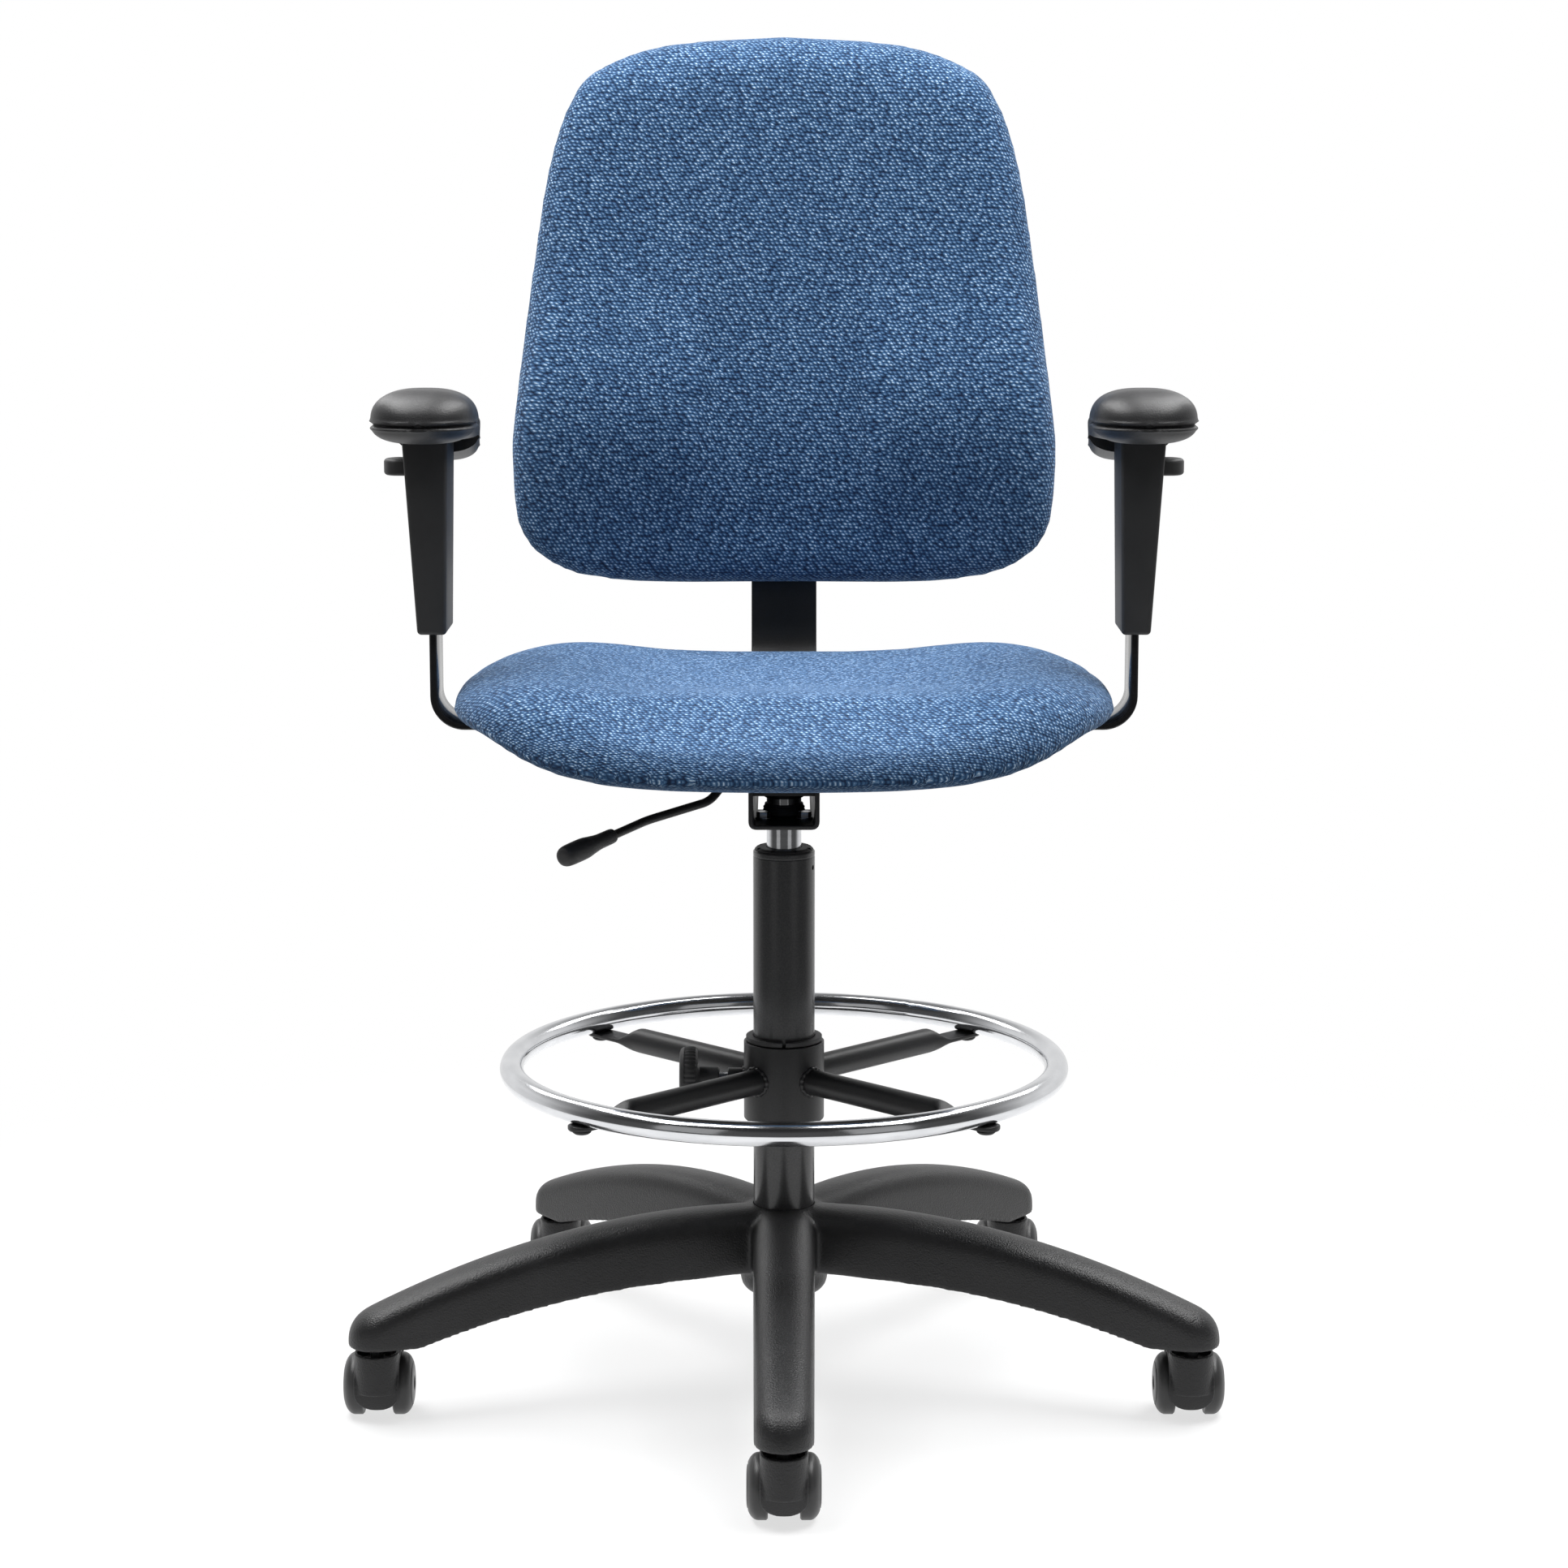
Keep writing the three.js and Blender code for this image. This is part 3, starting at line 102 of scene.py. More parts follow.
COLUMN_GROOVE_DROP = 0.005
COLUMN_GROOVE = 0.0005  # its depth, and half its width
COLUMN_CHAMFER = 0.0012
COLUMN_WALL = 0.002
COLUMN_FLOOR = 0.003
SIDE_HOLE_RADIUS = 0.0021
SIDE_HOLE_DROP = 0.0135
SIDE_HOLE_TURN = 0.35  # radians from +X toward the front
BUSH_NOTCHES = 8
NOTCH_HALF_WIDTH = 0.0016
NOTCH_DEPTH = 0.0012
BUSH_RIM_HEIGHT = 0.002
BUSH_RIM_CHAMFER = 0.002
BUSH_NECK = 0.0013
RING_RADIUS = 0.222
RING_TUBE_RADIUS = 0.0096
RING_STEPS = 360
RING_SEAM_STEP = 60
RING_SEAM_DEPTH = 0.00025
SPOKE_COUNT = 4
SPOKE_RADIUS = 0.0105
SPOKE_DROP = 0.0023  # of the spoke's middle below the ring's underside
SPOKE_RISE = 0.002  # of its round part above its flat end
SPOKE_SUNK = 0.004  # of its foot in the collar
COLLAR_RADIUS = 0.03275
COLLAR_BORE = 0.0288
COLLAR_CHAMFER = 0.0018
BOSS_RADIUS = 0.0075
BOSS_LENGTH = 0.013
STUD_HOLE = 0.0043
WELD_STEPS = 96
WELD_RIPPLE = 0.0003
BUSH_BORE = 0.0253
BUSH_FLANGE = 0.004
BUSH_SLIT = 0.0015
TONGUE_HALF_WIDTH = 0.011
TONGUE_THICKNESS = 0.004
TONGUE_START = 0.192  # distance from the column's axis at which the spoke is quite flat
SPOKE_ROUND_END = 0.170  # and where it starts to flatten
THREAD_PITCH = 0.00125
THREAD_FLAT = 0.0001
THREAD_ROOT = 0.0034
THREAD_CREST = 0.004
KNOB_RIBS = 40
KNOB_RIB_DEPTH = 0.0009
KNOB_STEM = 0.00875
KNOB_CHAMFER = 0.00095
KNOB_DEPTH = 0.0145
# Radius, height over the cap's foot, and a 1 where the cap is ribbed
KNOB_CAP = [
    (0.0105, 0), (0.0215, 0), (0.0243, 0.0012, 1), (0.025, 0.003, 1), (0.025, 0.0085, 1), (0.0243, 0.0100, 1),
    (0.0243, 0.0107), (0.0238, 0.0122), (0.0225, 0.0136), (0.0200, 0.0144), (0.0160, 0.0145),
    (0.0140, 0.0138), (0, 0.0136),
]
# Radius, and height over the screw's foot
SCREW_CAP = [
    (0, -0.0006), (0.003, -0.0004), (0.0058, 0.0004), (0.0075, 0.0018), (0.0075, 0.003), (0.003, 0.003),
]

CHANNEL_WALL = 0.0036
CHANNEL_CORNER = 0.007
CHANNEL_FLANGE = 0.022
PLATE_REACH = 0.035
PLATE_THICKNESS = 0.004
PLATE_SLOT_END = 0.007
WINDOW_START = 0.020  # of the opening in the channel's floor behind the column
WINDOW_END = 0.006
LEVER_HOLE = 0.005
FLOOR_BOLT = (0.0165, -0.021)
FLANGE_BOLT_OUT = 0.012  # from the channel's side
FLANGE_BOLT_ROWS = (-0.04, 0.095)
WASHER_RADIUS = 0.0066
WASHER_HEIGHT = 0.0012
BOLT_HEAD = [(0, 0.001), (0.0056, 0.001), (0.0056, 0.0048), (0.0050, 0.0056), (0, 0.0056)]
BOOT_GAP = 0.004  # of bare chrome between the boot and the socket
BOOT_TAPER = 0.0016
BOOT_WAIST = 0.0008  # of the groove over the boot's foot
LEVER_RADIUS = 0.0035
# The lever's rod: [out from the channel's wall, in front of the axis, below its inner end]
LEVER_BENDS = [(0.009, 0, 0), (0.031, 0.020, 0.0255), (0.0802, 0.060, 0.034)]
LEVER_TIP = (0.142, 0.150, 0.0473)
HANDLE_LENGTH = 0.065
HANDLE_SOCKET = 0.034  # of the rod in the handle
HANDLE_BORE = 0.0037
# Radius, and distance from the handle's foot
HANDLE_LINE = [
    (0.0046, 0), (0.0058, 0.002), (0.0060, 0.012), (0.0062, 0.020), (0.0074, 0.030), (0.0084, 0.038),
    (0.0085, 0.050), (0.0083, 0.058), (0.0075, 0.0625), (0.0055, 0.0646), (0.0025, 0.065),
]

SEAT_STAPLED = 0.006
SEAT_SQUARENESS = 2.7
SEAT_LIP_REACH = 1.08  # where the lip over the pan's edge starts, in the pan's superellipse
SEAT_LIP_DROP = 0.004
SEAT_EDGE_HEIGHT = 0.014
SEAT_TOP_HEIGHT = 0.024
SEAT_BOLSTER = 0.017
SEAT_BOLSTER_INSET = 0.0715
SEAT_BOLSTER_SPREAD = 0.080
SEAT_RIDGE = 0.009
SEAT_RIDGE_INSET = 0.107
SEAT_RIDGE_SPREAD = 0.065
SEAT_WATERFALL = 0.031
SEAT_WATERFALL_LENGTH = 0.100
SEAT_WATERFALL_TOP = 0.12  # share of the waterfall edge's drop that the top takes part in
PAN_INSET = 0.032
BOARD_HIDDEN = 0.005  # of the board's thickness, where the waterfall edge rolls over it
CLOTH_VOXEL = 0.005
CLOTH_PRESSURE = 4.0
CLOTH_CAP = 0.004
CLOTH_FRAMES = 20
CUSHION_FULLNESS = 9  # how squarely a cushion turns over at its edge; 2 is an ellipse

BACK_STAPLED = 0.012
BACK_WIDTH = 0.471
BACK_HEIGHT = 0.469
BACK_SPARE = 0.005  # what smoothing takes off the cushion's top and bottom edges
BACK_RECLINE = math.radians(9.3)
BACK_FOOT_Y = 0.255
BACK_ABOVE_PAN = 0.076
BACK_MIDDLE = 0.050
BACK_EDGE = 0.024
BACK_WING = 0.0096
BACK_WING_REAR = 0.0056
BACK_WING_START = 0.094
BACK_WING_RUN = 0.118
BACK_LUMBAR = 0.016
BACK_LUMBAR_HEIGHT = 0.145
BACK_LUMBAR_SPREAD = 0.090
BACK_TUCK = 0.014
BACK_TUCK_HEIGHT = 0.005
BACK_TUCK_SPREAD = 0.075
SPINE_HALF_WIDTH = 0.071
SPINE_EDGE = 0.020
SPINE_SHARE = 0.8  # of the lumbar bolsters that the spine between them does without
SHELL_INSET = 0.007
SHELL_DEPTH = 0.034
SHELL_RIM = 0.006
SHELL_FLARE = 0.003
SHELL_SPINE_HEIGHT = 0.004
SHELL_SPINE_HALF_WIDTH = 0.045
SHELL_SPINE_EDGE = 0.02
UPRIGHT_THICKNESS = 0.008
UPRIGHT_RECESS = 0.005
UPRIGHT_BEND = 0.042
UPRIGHT_OVERLAP = 0.170
# Right half of the back's outline: (share of the half width, share of the height)
BACK_OUTLINE = [
    (0, 0), (0.475, 0), (0.727, 0.015), (0.876, 0.045), (0.975, 0.105), (1, 0.23), (0.987, 0.343),
    (0.93, 0.583), (0.87, 0.76), (0.785, 0.881), (0.671, 0.94), (0.42, 0.985), (0, 1),
]

ARM_BAR_THICKNESS = 0.006
ARM_BAR_BEND = 0.024
SLEEVE_BOTTOM_INNER = 0.008
SLEEVE_BOTTOM_OUTER = 0.009
SLEEVE_TOP_INNER = 0.011
SLEEVE_TOP_OUTER = 0.019
SLEEVE_ROUNDING = 0.0032
SLEEVE_ROOF = 0.008
BUTTON_ROUNDING = 0.0028
BUTTON_TRAVEL_GAP = 0.003
PAD_WIDTH = 0.080
PAD_HEIGHT = 0.042
PAD_DROOP = 0.029
PAD_TAIL_NARROWING = 0.3
PAD_SQUARENESS = 2.6
PAD_BELT = 0.40  # share of its height below its widest level
PAD_TURN_START = 0.2  # share of its length at which its tail starts to turn down
PAD_END_SHARE = 0.15  # share of its length over which each end rounds off
PAD_END_WIDTH = 0.05  # share of its full width at its very ends
PAD_END_HEIGHT = 0.05
WELT_LEVEL = -0.0015  # of the seam, from the pad's widest level
WELT_APART = 0.0026
WELT_WIDTH = 0.0013
WELT_HEIGHT = 0.0009
SEAM_DEPTH = 0.0024

TUFT_PITCH = 0.0037  # of the tweed's loops along a row
ROW_PITCH = 0.0031


FLOOR_RADIUS = 1.15
FLOOR_GLOW = 0.69  # share of the paper's white, under the chair, that shadows can't touch
WALL_GLOW = 0.85
FRONT_GLOW = 0.08


# ---- Shapes


def smooth_step(value):
    share = np.clip(value, 0.0, 1.0)
    return share * share * (3 - 2 * share)


def bump(distance, width):
    return np.exp(-((distance / width) ** 2))


def off_axis(profile):
    """A lathe's profile with the points on its axis moved just off it, so that each makes a ring."""
    return [(max(radius, AXIS_GAP), *rest) for radius, *rest in profile]


def middle_of(node):
    low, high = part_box(node)
    return (low + high) / 2


def piece_from(name, points, faces, sharp=38.0):
    """A mesh object with its faces turned outwards, smooth but for edges over the sharp angle."""
    mesh = bpy.data.meshes.new(name)
    mesh.from_pydata([tuple(point) for point in points], [], faces)
    made = bmesh.new()
    made.from_mesh(mesh)
    bmesh.ops.recalc_face_normals(made, faces=made.faces)
    made.to_mesh(mesh)
    made.free()
    shade(mesh, sharp)
    piece = bpy.data.objects.new(name, mesh)
    bpy.context.scene.collection.objects.link(piece)
    return piece


def shade(mesh, sharp=38.0):
    mesh.shade_smooth()
    mesh.set_sharp_from_angle(angle=math.radians(sharp))


def rounded(points, radius, steps=5, closed=True):
    """A line of points with each corner turned into a curve that starts a radius away."""
    corners = [Vector(point) for point in points]
    count = len(corners)
    out = []
    for i, corner in enumerate(corners):
        if not closed and i in (0, count - 1):
            out.append(corner)
            continue
        before = corners[i - 1] - corner
        after = corners[(i + 1) % count] - corner
        start = corner + before.normalized() * min(radius, before.length * 0.49)
        end = corner + after.normalized() * min(radius, after.length * 0.49)
        for k in range(steps + 1):
            share = k / steps
            out.append(start.lerp(corner, share).lerp(corner.lerp(end, share), share))
    return out


def loft(name, rings, sharp=38.0):
    """A closed skin over rings of points, with both ends capped."""
    sides = len(rings[0])
    points = [point for ring in rings for point in ring]
    faces = []
    for k in range(len(rings) - 1):
        for i in range(sides):
            j = (i + 1) % sides
            faces.append((k * sides + i, k * sides + j, (k + 1) * sides + j, (k + 1) * sides + i))
    faces.append(tuple(range(sides)))
    faces.append(tuple((len(rings) - 1) * sides + i for i in range(sides)))
    return piece_from(name, points, faces, sharp)


def along(axis, origin=(0, 0, 0)):
    """The matrix that lays +Z along an axis, with its foot at the origin given."""
    turn = Vector(axis).to_track_quat("Z", "Y").to_matrix().to_4x4()
    return Matrix.Translation(origin) @ turn


def lathe(name, profile, place=Matrix(), sides=64, hollow=False, ribs=0, rib_depth=0.0):
    """A solid turned about Z from (radius, height) points, then placed by a matrix.

    A hollow profile is a closed loop. Any other runs from the axis to the axis, and its two ends
    are capped. Ribs cut flutes into the points that are given as (radius, height, 1)."""
    rings = []
    for radius, height, *ribbed in profile:
        ring = []
        for i in range(sides):
            angle = 2 * math.pi * i / sides
            flute = rib_depth * (0.5 - 0.5 * math.cos(ribs * angle)) if ribbed else 0.0
            reach = radius - flute
            ring.append(place @ Vector((reach * math.cos(angle), reach * math.sin(angle), height)))
        rings.append(ring)
    if not hollow:
        return loft(name, rings)
    points = [point for ring in rings for point in ring]
    count = len(rings)
    faces = []
    for k in range(count):
        for i in range(sides):
            j = (i + 1) % sides
            m = (k + 1) % count
            faces.append((k * sides + i, k * sides + j, m * sides + j, m * sides + i))
    return piece_from(name, points, faces)


def turned(name, corners, place=Matrix(), rounding=0.0006, **options):
    """A solid of revolution with its profile's corners rounded. It runs from axis to axis."""
    line = rounded(off_axis(corners), rounding, steps=3, closed=False)
    return lathe(name, [tuple(point) for point in line], place, **options)


def turned_tube(name, corners, place=Matrix(), rounding=0.0006, **options):
    line = rounded(corners, rounding, steps=3)
    return lathe(name, [tuple(point) for point in line], place, hollow=True, **options)


def prism(name, outline, low, high, across="Y", bevel=0.0008, segments=3):
    """A flat outline given depth from low to high across its plane, with its edges rounded."""
    lift = {
        "X": lambda a, b, depth: (depth, a, b),
        "Y": lambda a, b, depth: (a, depth, b),
        "Z": lambda a, b, depth: (a, b, depth),
    }[across]
    rings = [[lift(a, b, depth) for a, b in outline] for depth in (low, high)]
    piece = loft(name, rings)
    if bevel:
        rounding = piece.modifiers.new("edges", "BEVEL")
        rounding.width = bevel
        rounding.segments = segments
        rounding.limit_method = "ANGLE"
        rounding.angle_limit = math.radians(40)
        apply_modifiers(piece)
        shade(piece.data, 50)
    return piece


def block(name, low, high, bevel=0.0008):
    (x0, y0, z0), (x1, y1, z1) = low, high
    return prism(name, [(x0, y0), (x1, y0), (x1, y1), (x0, y1)], z0, z1, "Z", bevel)


def tube(name, path, radius, sides=24, closed=False):
    """A round tube along a line of points. The radius is a number, or one for each point."""
    path = [Vector(point) for point in path]
    count = len(path)
    radii = radius if isinstance(radius, list) else [radius] * count
    rings = []
    side = None
    for i, point in enumerate(path):
        ahead = path[(i + 1) % count] if closed or i + 1 < count else point
        behind = path[i - 1] if closed or i else point
        run = (ahead - behind).normalized()
        if side is None:
            side = run.orthogonal().normalized()
        side = (side - run * side.dot(run)).normalized()
        other = run.cross(side)
        angles = [2 * math.pi * k / sides for k in range(sides)]
        rings.append([point + radii[i] * (math.cos(a) * side + math.sin(a) * other) for a in angles])
    if not closed:
        return loft(name, rings)
    points = [point for ring in rings for point in ring]
    start = min(range(sides), key=lambda k: (rings[0][k] - rings[-1][0]).length)
    faces = []
    for k in range(count):
        shift = start if k == count - 1 else 0
        m = (k + 1) % count
        for i in range(sides):
            j = (i + 1) % sides
            ahead_i, ahead_j = (i + shift) % sides, (j + shift) % sides
            faces.append((k * sides + i, k * sides + j, m * sides + ahead_j, m * sides + ahead_i))
    return piece_from(name, points, faces)


def superellipse(half_width, half_height, exponent, count):
    """Points round a superellipse; an exponent of 2 is an ellipse, and more is squarer."""
    power = 2 / exponent
    angles = 2 * np.pi * (np.arange(count) + 0.5) / count
    across = half_width * np.sign(np.cos(angles)) * np.abs(np.cos(angles)) ** power
    upward = half_height * np.sign(np.sin(angles)) * np.abs(np.sin(angles)) ** power
    return np.stack([across, upward], axis=1)


def evenly(points, count):
    """A closed outline's points moved to even steps along it."""
    loop = np.vstack([points, points[:1]])
    reach = np.concatenate([[0], np.cumsum(np.linalg.norm(np.diff(loop, axis=0), axis=1))])
    steps = np.linspace(0, reach[-1], count, endpoint=False)
    return np.stack([np.interp(steps, reach, loop[:, axis]) for axis in (0, 1)], axis=1)


def spline(points, count):
    """Even steps along a smooth curve through 2-D points, both ends kept."""
    line = np.array(points, float)
    padded = np.vstack([2 * line[0] - line[1], line, 2 * line[-1] - line[-2]])
    share = np.linspace(0, 1, 12, endpoint=False)[:, None]
    curve = []
    for p0, p1, p2, p3 in zip(padded, padded[1:], padded[2:], padded[3:]):
        bend = (p2 - p0) / 2, (p3 - p1) / 2
        square, cube = share**2, share**3
        curve.append(
            (2 * cube - 3 * square + 1) * p1 + (cube - 2 * square + share) * bend[0]
            + (3 * square - 2 * cube) * p2 + (cube - square) * bend[1]
        )
    curve = np.vstack([*curve, line[-1:]])
    reach = np.concatenate([[0], np.cumsum(np.linalg.norm(np.diff(curve, axis=0), axis=1))])
    steps = np.linspace(0, reach[-1], count)
    return np.stack([np.interp(steps, reach, curve[:, axis]) for axis in (0, 1)], axis=1)


def bent_strip(start, corner, end, bend, thickness, steps=14):
    """Outline of a strip of even thickness along a line with one rounded corner."""
    start, corner, end = Vector(start), Vector(corner), Vector(end)
    inward, outward = (corner - start).normalized(), (end - corner).normalized()
    angle = inward.angle(outward)
    side = 1 if inward.cross(outward) > 0 else -1
    setback = bend * math.tan(angle / 2)
    normal = Vector((-inward.y, inward.x)) * side
    centre = corner - inward * setback + normal * bend
    line = [(start, normal)]
    for i in range(steps + 1):
        turn = Matrix.Rotation(side * angle * i / steps, 2) @ normal
        line.append((centre - turn * bend, turn))
    line.append((end, line[-1][1]))
    half = thickness / 2
    return [p + n * half for p, n in line] + [p - n * half for p, n in reversed(line)]


# ---- Changes to shapes


def apply_modifiers(piece):
    graph = bpy.context.evaluated_depsgraph_get()
    final = bpy.data.meshes.new_from_object(piece.evaluated_get(graph))
    piece.modifiers.clear()
    piece.data = final
    return piece


def boolean(piece, operation, tools):
    for tool in tools:
        step = piece.modifiers.new("cut", "BOOLEAN")
        step.operation = operation
        step.solver = "MANIFOLD"
        step.object = tool
    apply_modifiers(piece)
    for tool in tools:
        bpy.data.objects.remove(tool)
    shade(piece.data)
    return piece


def carve(piece, *tools):
    return boolean(piece, "DIFFERENCE", tools)


def joined(piece, *others):
    """All the pieces as one mesh, their surfaces left as they are."""
    whole = bmesh.new()
    for part in (piece, *others):
        whole.from_mesh(part.data)
    whole.to_mesh(piece.data)
    whole.free()
    for part in others:
        bpy.data.objects.remove(part)
    shade(piece.data)
    return piece


def melted(piece, voxel, smoothing, weights=None):
    """Solids that overlap become one skin, and its creases are smoothed into fillets."""
    step = piece.modifiers.new("voxels", "REMESH")
    step.mode = "VOXEL"
    step.voxel_size = voxel
    apply_modifiers(piece)
    if weights:
        group = piece.vertex_groups.new(name="soften")
        for vertex in piece.data.vertices:
            group.add([vertex.index], weights(vertex.co), "REPLACE")
    for iterations, name in smoothing:
        step = piece.modifiers.new("smooth", "SMOOTH")
        step.factor = 0.5
        step.iterations = iterations
        step.vertex_group = name
    apply_modifiers(piece)
    piece.data.shade_smooth()
    return piece


def dress(piece, body, material, *nodes):
    """Gives a piece its finish and its CAD body, and hides the CAD nodes that it stands for."""
    piece.data.materials.clear()
    piece.data.materials.append(material)
    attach(piece, body)
    if nodes:
        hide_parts(*nodes)
    return piece


# ---- Materials


def add(tree, kind, settings=None, **inputs):
    """A shader node. Each input is a value, or another node's output to link."""
    made = tree.nodes.new("ShaderNode" + kind)
    for key, value in (settings or {}).items():
        setattr(made, key, value)
    for key, value in inputs.items():
        socket = made.inputs[key.replace("_", " ")]
        if isinstance(value, bpy.types.NodeSocket):
            tree.links.new(value, socket)
        else:
            socket.default_value = value
    return made


def maths(tree, operation, first, second=0.0):
    made = tree.nodes.new("ShaderNodeMath")
    made.operation = operation
    for socket, value in zip(made.inputs, (first, second)):
        if isinstance(value, bpy.types.NodeSocket):
            tree.links.new(value, socket)
        else:
            socket.default_value = value
    return made.outputs[0]


def tint(tree, factor, *stops):
    """A colour that follows a factor through (position, colour) stops."""
    ramp = add(tree, "ValToRGB", Fac=factor)
    elements = ramp.color_ramp.elements
    while len(elements) < len(stops):
        elements.new(0.5)
    for element, (position, color) in zip(elements, stops):
        element.position = position
        element.color = (*color, 1)
    return ramp.outputs["Color"]


def spread(tree, factor, low, high):
    """A factor from 0 to 1 mapped to a range."""
    made = add(tree, "MapRange", Value=factor, To_Min=low, To_Max=high)
    return made.outputs["Result"]


def new_material(name, slot, roughness, metallic=0.0, specular=0.5, **constants):
    material = bpy.data.materials.new(name)
    material["slot"] = slot
    material.use_nodes = True
    shader = material.node_tree.nodes["Principled BSDF"]
    shader.inputs["Roughness"].default_value = roughness
    shader.inputs["Metallic"].default_value = metallic
    shader.inputs["Specular IOR Level"].default_value = specular
    for key, value in constants.items():
        shader.inputs[key.replace("_", " ")].default_value = value
    return material, material.node_tree, shader


def object_place(tree):
    return add(tree, "TexCoord").outputs["Object"]


def noise(tree, place, size, detail=2.0):
    made = add(tree, "TexNoise", Vector=place, Scale=1 / size, Detail=detail)
    return made.outputs[0]


def set_bump(tree, shader, height, depth):
    made = add(tree, "Bump", Height=height, Distance=depth, Strength=1.0)
    tree.links.new(made.outputs["Normal"], shader.inputs["Normal"])


def moulding(name, slot, dark, light, gloss, pebble, depth, specular=0.4):
    """Moulded plastic: pebbled skin, and a tone and gloss that drift a little over the surface."""
    material, tree, shader = new_material(name, slot, sum(gloss) / 2, specular=specular)
    place = object_place(tree)
    pebbles = add(tree, "TexVoronoi", {"feature": "SMOOTH_F1"}, Vector=place, Scale=1 / pebble)
    fine = noise(tree, place, pebble * 0.4)
    drift = noise(tree, place, 0.045, 3.0)
    height = maths(tree, "SUBTRACT", maths(tree, "MULTIPLY", fine, 0.5), pebbles.outputs["Distance"])
    tone = maths(tree, "ADD", maths(tree, "MULTIPLY", drift, 0.6), maths(tree, "MULTIPLY", fine, 0.4))
    tree.links.new(tint(tree, tone, (0.3, dark), (0.7, light)), shader.inputs["Base Color"])
    tree.links.new(spread(tree, drift, *gloss), shader.inputs["Roughness"])
    set_bump(tree, shader, height, depth)
    return material


def paint(name, slot, dark, light, gloss, peel, depth, specular=0.5):
    """Sprayed paint or powder coat: an orange-peel surface with fine specks in its tone."""
    material, tree, shader = new_material(name, slot, sum(gloss) / 2, specular=specular)
    place = object_place(tree)
    texture = noise(tree, place, peel, 3.0)
    drift = noise(tree, place, 0.06)
    tree.links.new(tint(tree, texture, (0.35, dark), (0.68, light)), shader.inputs["Base Color"])
    tree.links.new(spread(tree, drift, *gloss), shader.inputs["Roughness"])
    set_bump(tree, shader, texture, depth)
    return material


def bright_metal(name, slot, dark, light, gloss, streak, depth):
    """Plated or ground metal: faint streaks across its length in tone, gloss and height."""
    material, tree, shader = new_material(name, slot, sum(gloss) / 2, metallic=1.0)
    stretched = add(tree, "Mapping", Vector=object_place(tree), Scale=(1.0, 1.0, 6.0))
    texture = noise(tree, stretched.outputs[0], streak, 3.0)
    haze = noise(tree, object_place(tree), 0.05)
    tree.links.new(tint(tree, texture, (0.3, dark), (0.7, light)), shader.inputs["Base Color"])
    tree.links.new(spread(tree, haze, *gloss), shader.inputs["Roughness"])
    set_bump(tree, shader, texture, depth)
    return material


def plywood(name, slot):
    """Ply stained black: long wavy grain in the face, and fine pores along it."""
    material, tree, shader = new_material(name, slot, 0.7, specular=0.3)
    stretched = add(tree, "Mapping", Vector=object_place(tree), Scale=(1.0, 0.12, 1.0)).outputs[0]
    bands = add(tree, "TexWave", Vector=stretched, Scale=9.0, Distortion=9.0, Detail=3.0)
    pores = noise(tree, stretched, 0.0012, 4.0)
    tone = maths(tree, "ADD", maths(tree, "MULTIPLY", bands.outputs["Fac"], 0.5),
                 maths(tree, "MULTIPLY", pores, 0.5))
    color = tint(tree, tone, (0.2, (0.012, 0.011, 0.010)), (0.5, (0.022, 0.020, 0.018)),
                 (0.8, (0.034, 0.031, 0.028)))
    tree.links.new(color, shader.inputs["Base Color"])
    tree.links.new(spread(tree, pores, 0.6, 0.85), shader.inputs["Roughness"])
    set_bump(tree, shader, pores, 0.0002)
    return material


def tweed(name, slot):
    """A nubby blue weave: staggered rows of loops, each of its own yarn tone, with painted highlight on their
    tops and painted shade between.

    Its place comes from the attribute "weave", which lies flat along the cloth, in metres."""
    material, tree, shader = new_material(
        name, slot, 0.9, specular=0.25, Sheen_Weight=0.12, Sheen_Roughness=0.5,
        Sheen_Tint=(0.75, 0.85, 1.0, 1.0),
    )
    weave = add(tree, "Attribute", {"attribute_name": "weave"}).outputs["Vector"]
    wander = add(tree, "TexNoise", Vector=weave, Scale=1 / 0.011, Detail=2.0).outputs["Color"]
    strayed = add(tree, "VectorMath", {"operation": "MULTIPLY_ADD"})
    tree.links.new(wander, strayed.inputs[0])
    strayed.inputs[1].default_value = (0.0015, 0.0008, 0.0)
    tree.links.new(weave, strayed.inputs[2])
    parts = add(tree, "SeparateXYZ", Vector=strayed.outputs[0])
    row = maths(tree, "DIVIDE", parts.outputs["Y"], ROW_PITCH)
    loop = maths(tree, "DIVIDE", parts.outputs["X"], TUFT_PITCH)
    staggered = maths(tree, "ADD", loop, maths(tree, "MULTIPLY", row, 0.5))
    lattice = add(tree, "CombineXYZ", X=staggered, Y=row).outputs[0]
    loops = add(tree, "TexVoronoi", {"voronoi_dimensions": "2D", "feature": "F1"},
                Vector=lattice, Scale=1.0, Randomness=0.5)
    fibre = noise(tree, weave, 0.0007, 3.0)
    patch = noise(tree, weave, 0.035, 2.0)
    bulge = maths(tree, "SUBTRACT", 0.86, loops.outputs["Distance"])
    height = maths(tree, "ADD", maths(tree, "MULTIPLY", bulge, 0.9), maths(tree, "MULTIPLY", fibre, 0.35))
    yarn = add(tree, "SeparateColor", Color=loops.outputs["Color"]).outputs[0]
    lift = maths(tree, "ADD", maths(tree, "MULTIPLY", yarn, 0.20), maths(tree, "MULTIPLY", patch, 0.03))
    # Colour follows the loops' height: painted highlight on the loop tops and painted shade in the gaps, over
    # each loop's own yarn tone and a faint patchy tone.
    tone = maths(tree, "ADD", height, maths(tree, "SUBTRACT", lift, 0.17))
    color = tint(
        tree, tone,
        (0.25, (0.003, 0.014, 0.048)), (0.54, (0.026, 0.084, 0.195)),
        (0.74, (0.095, 0.205, 0.380)), (0.91, (0.560, 0.700, 0.850)),
    )
    tree.links.new(color, shader.inputs["Base Color"])
    set_bump(tree, shader, height, 0.0015)
    return material


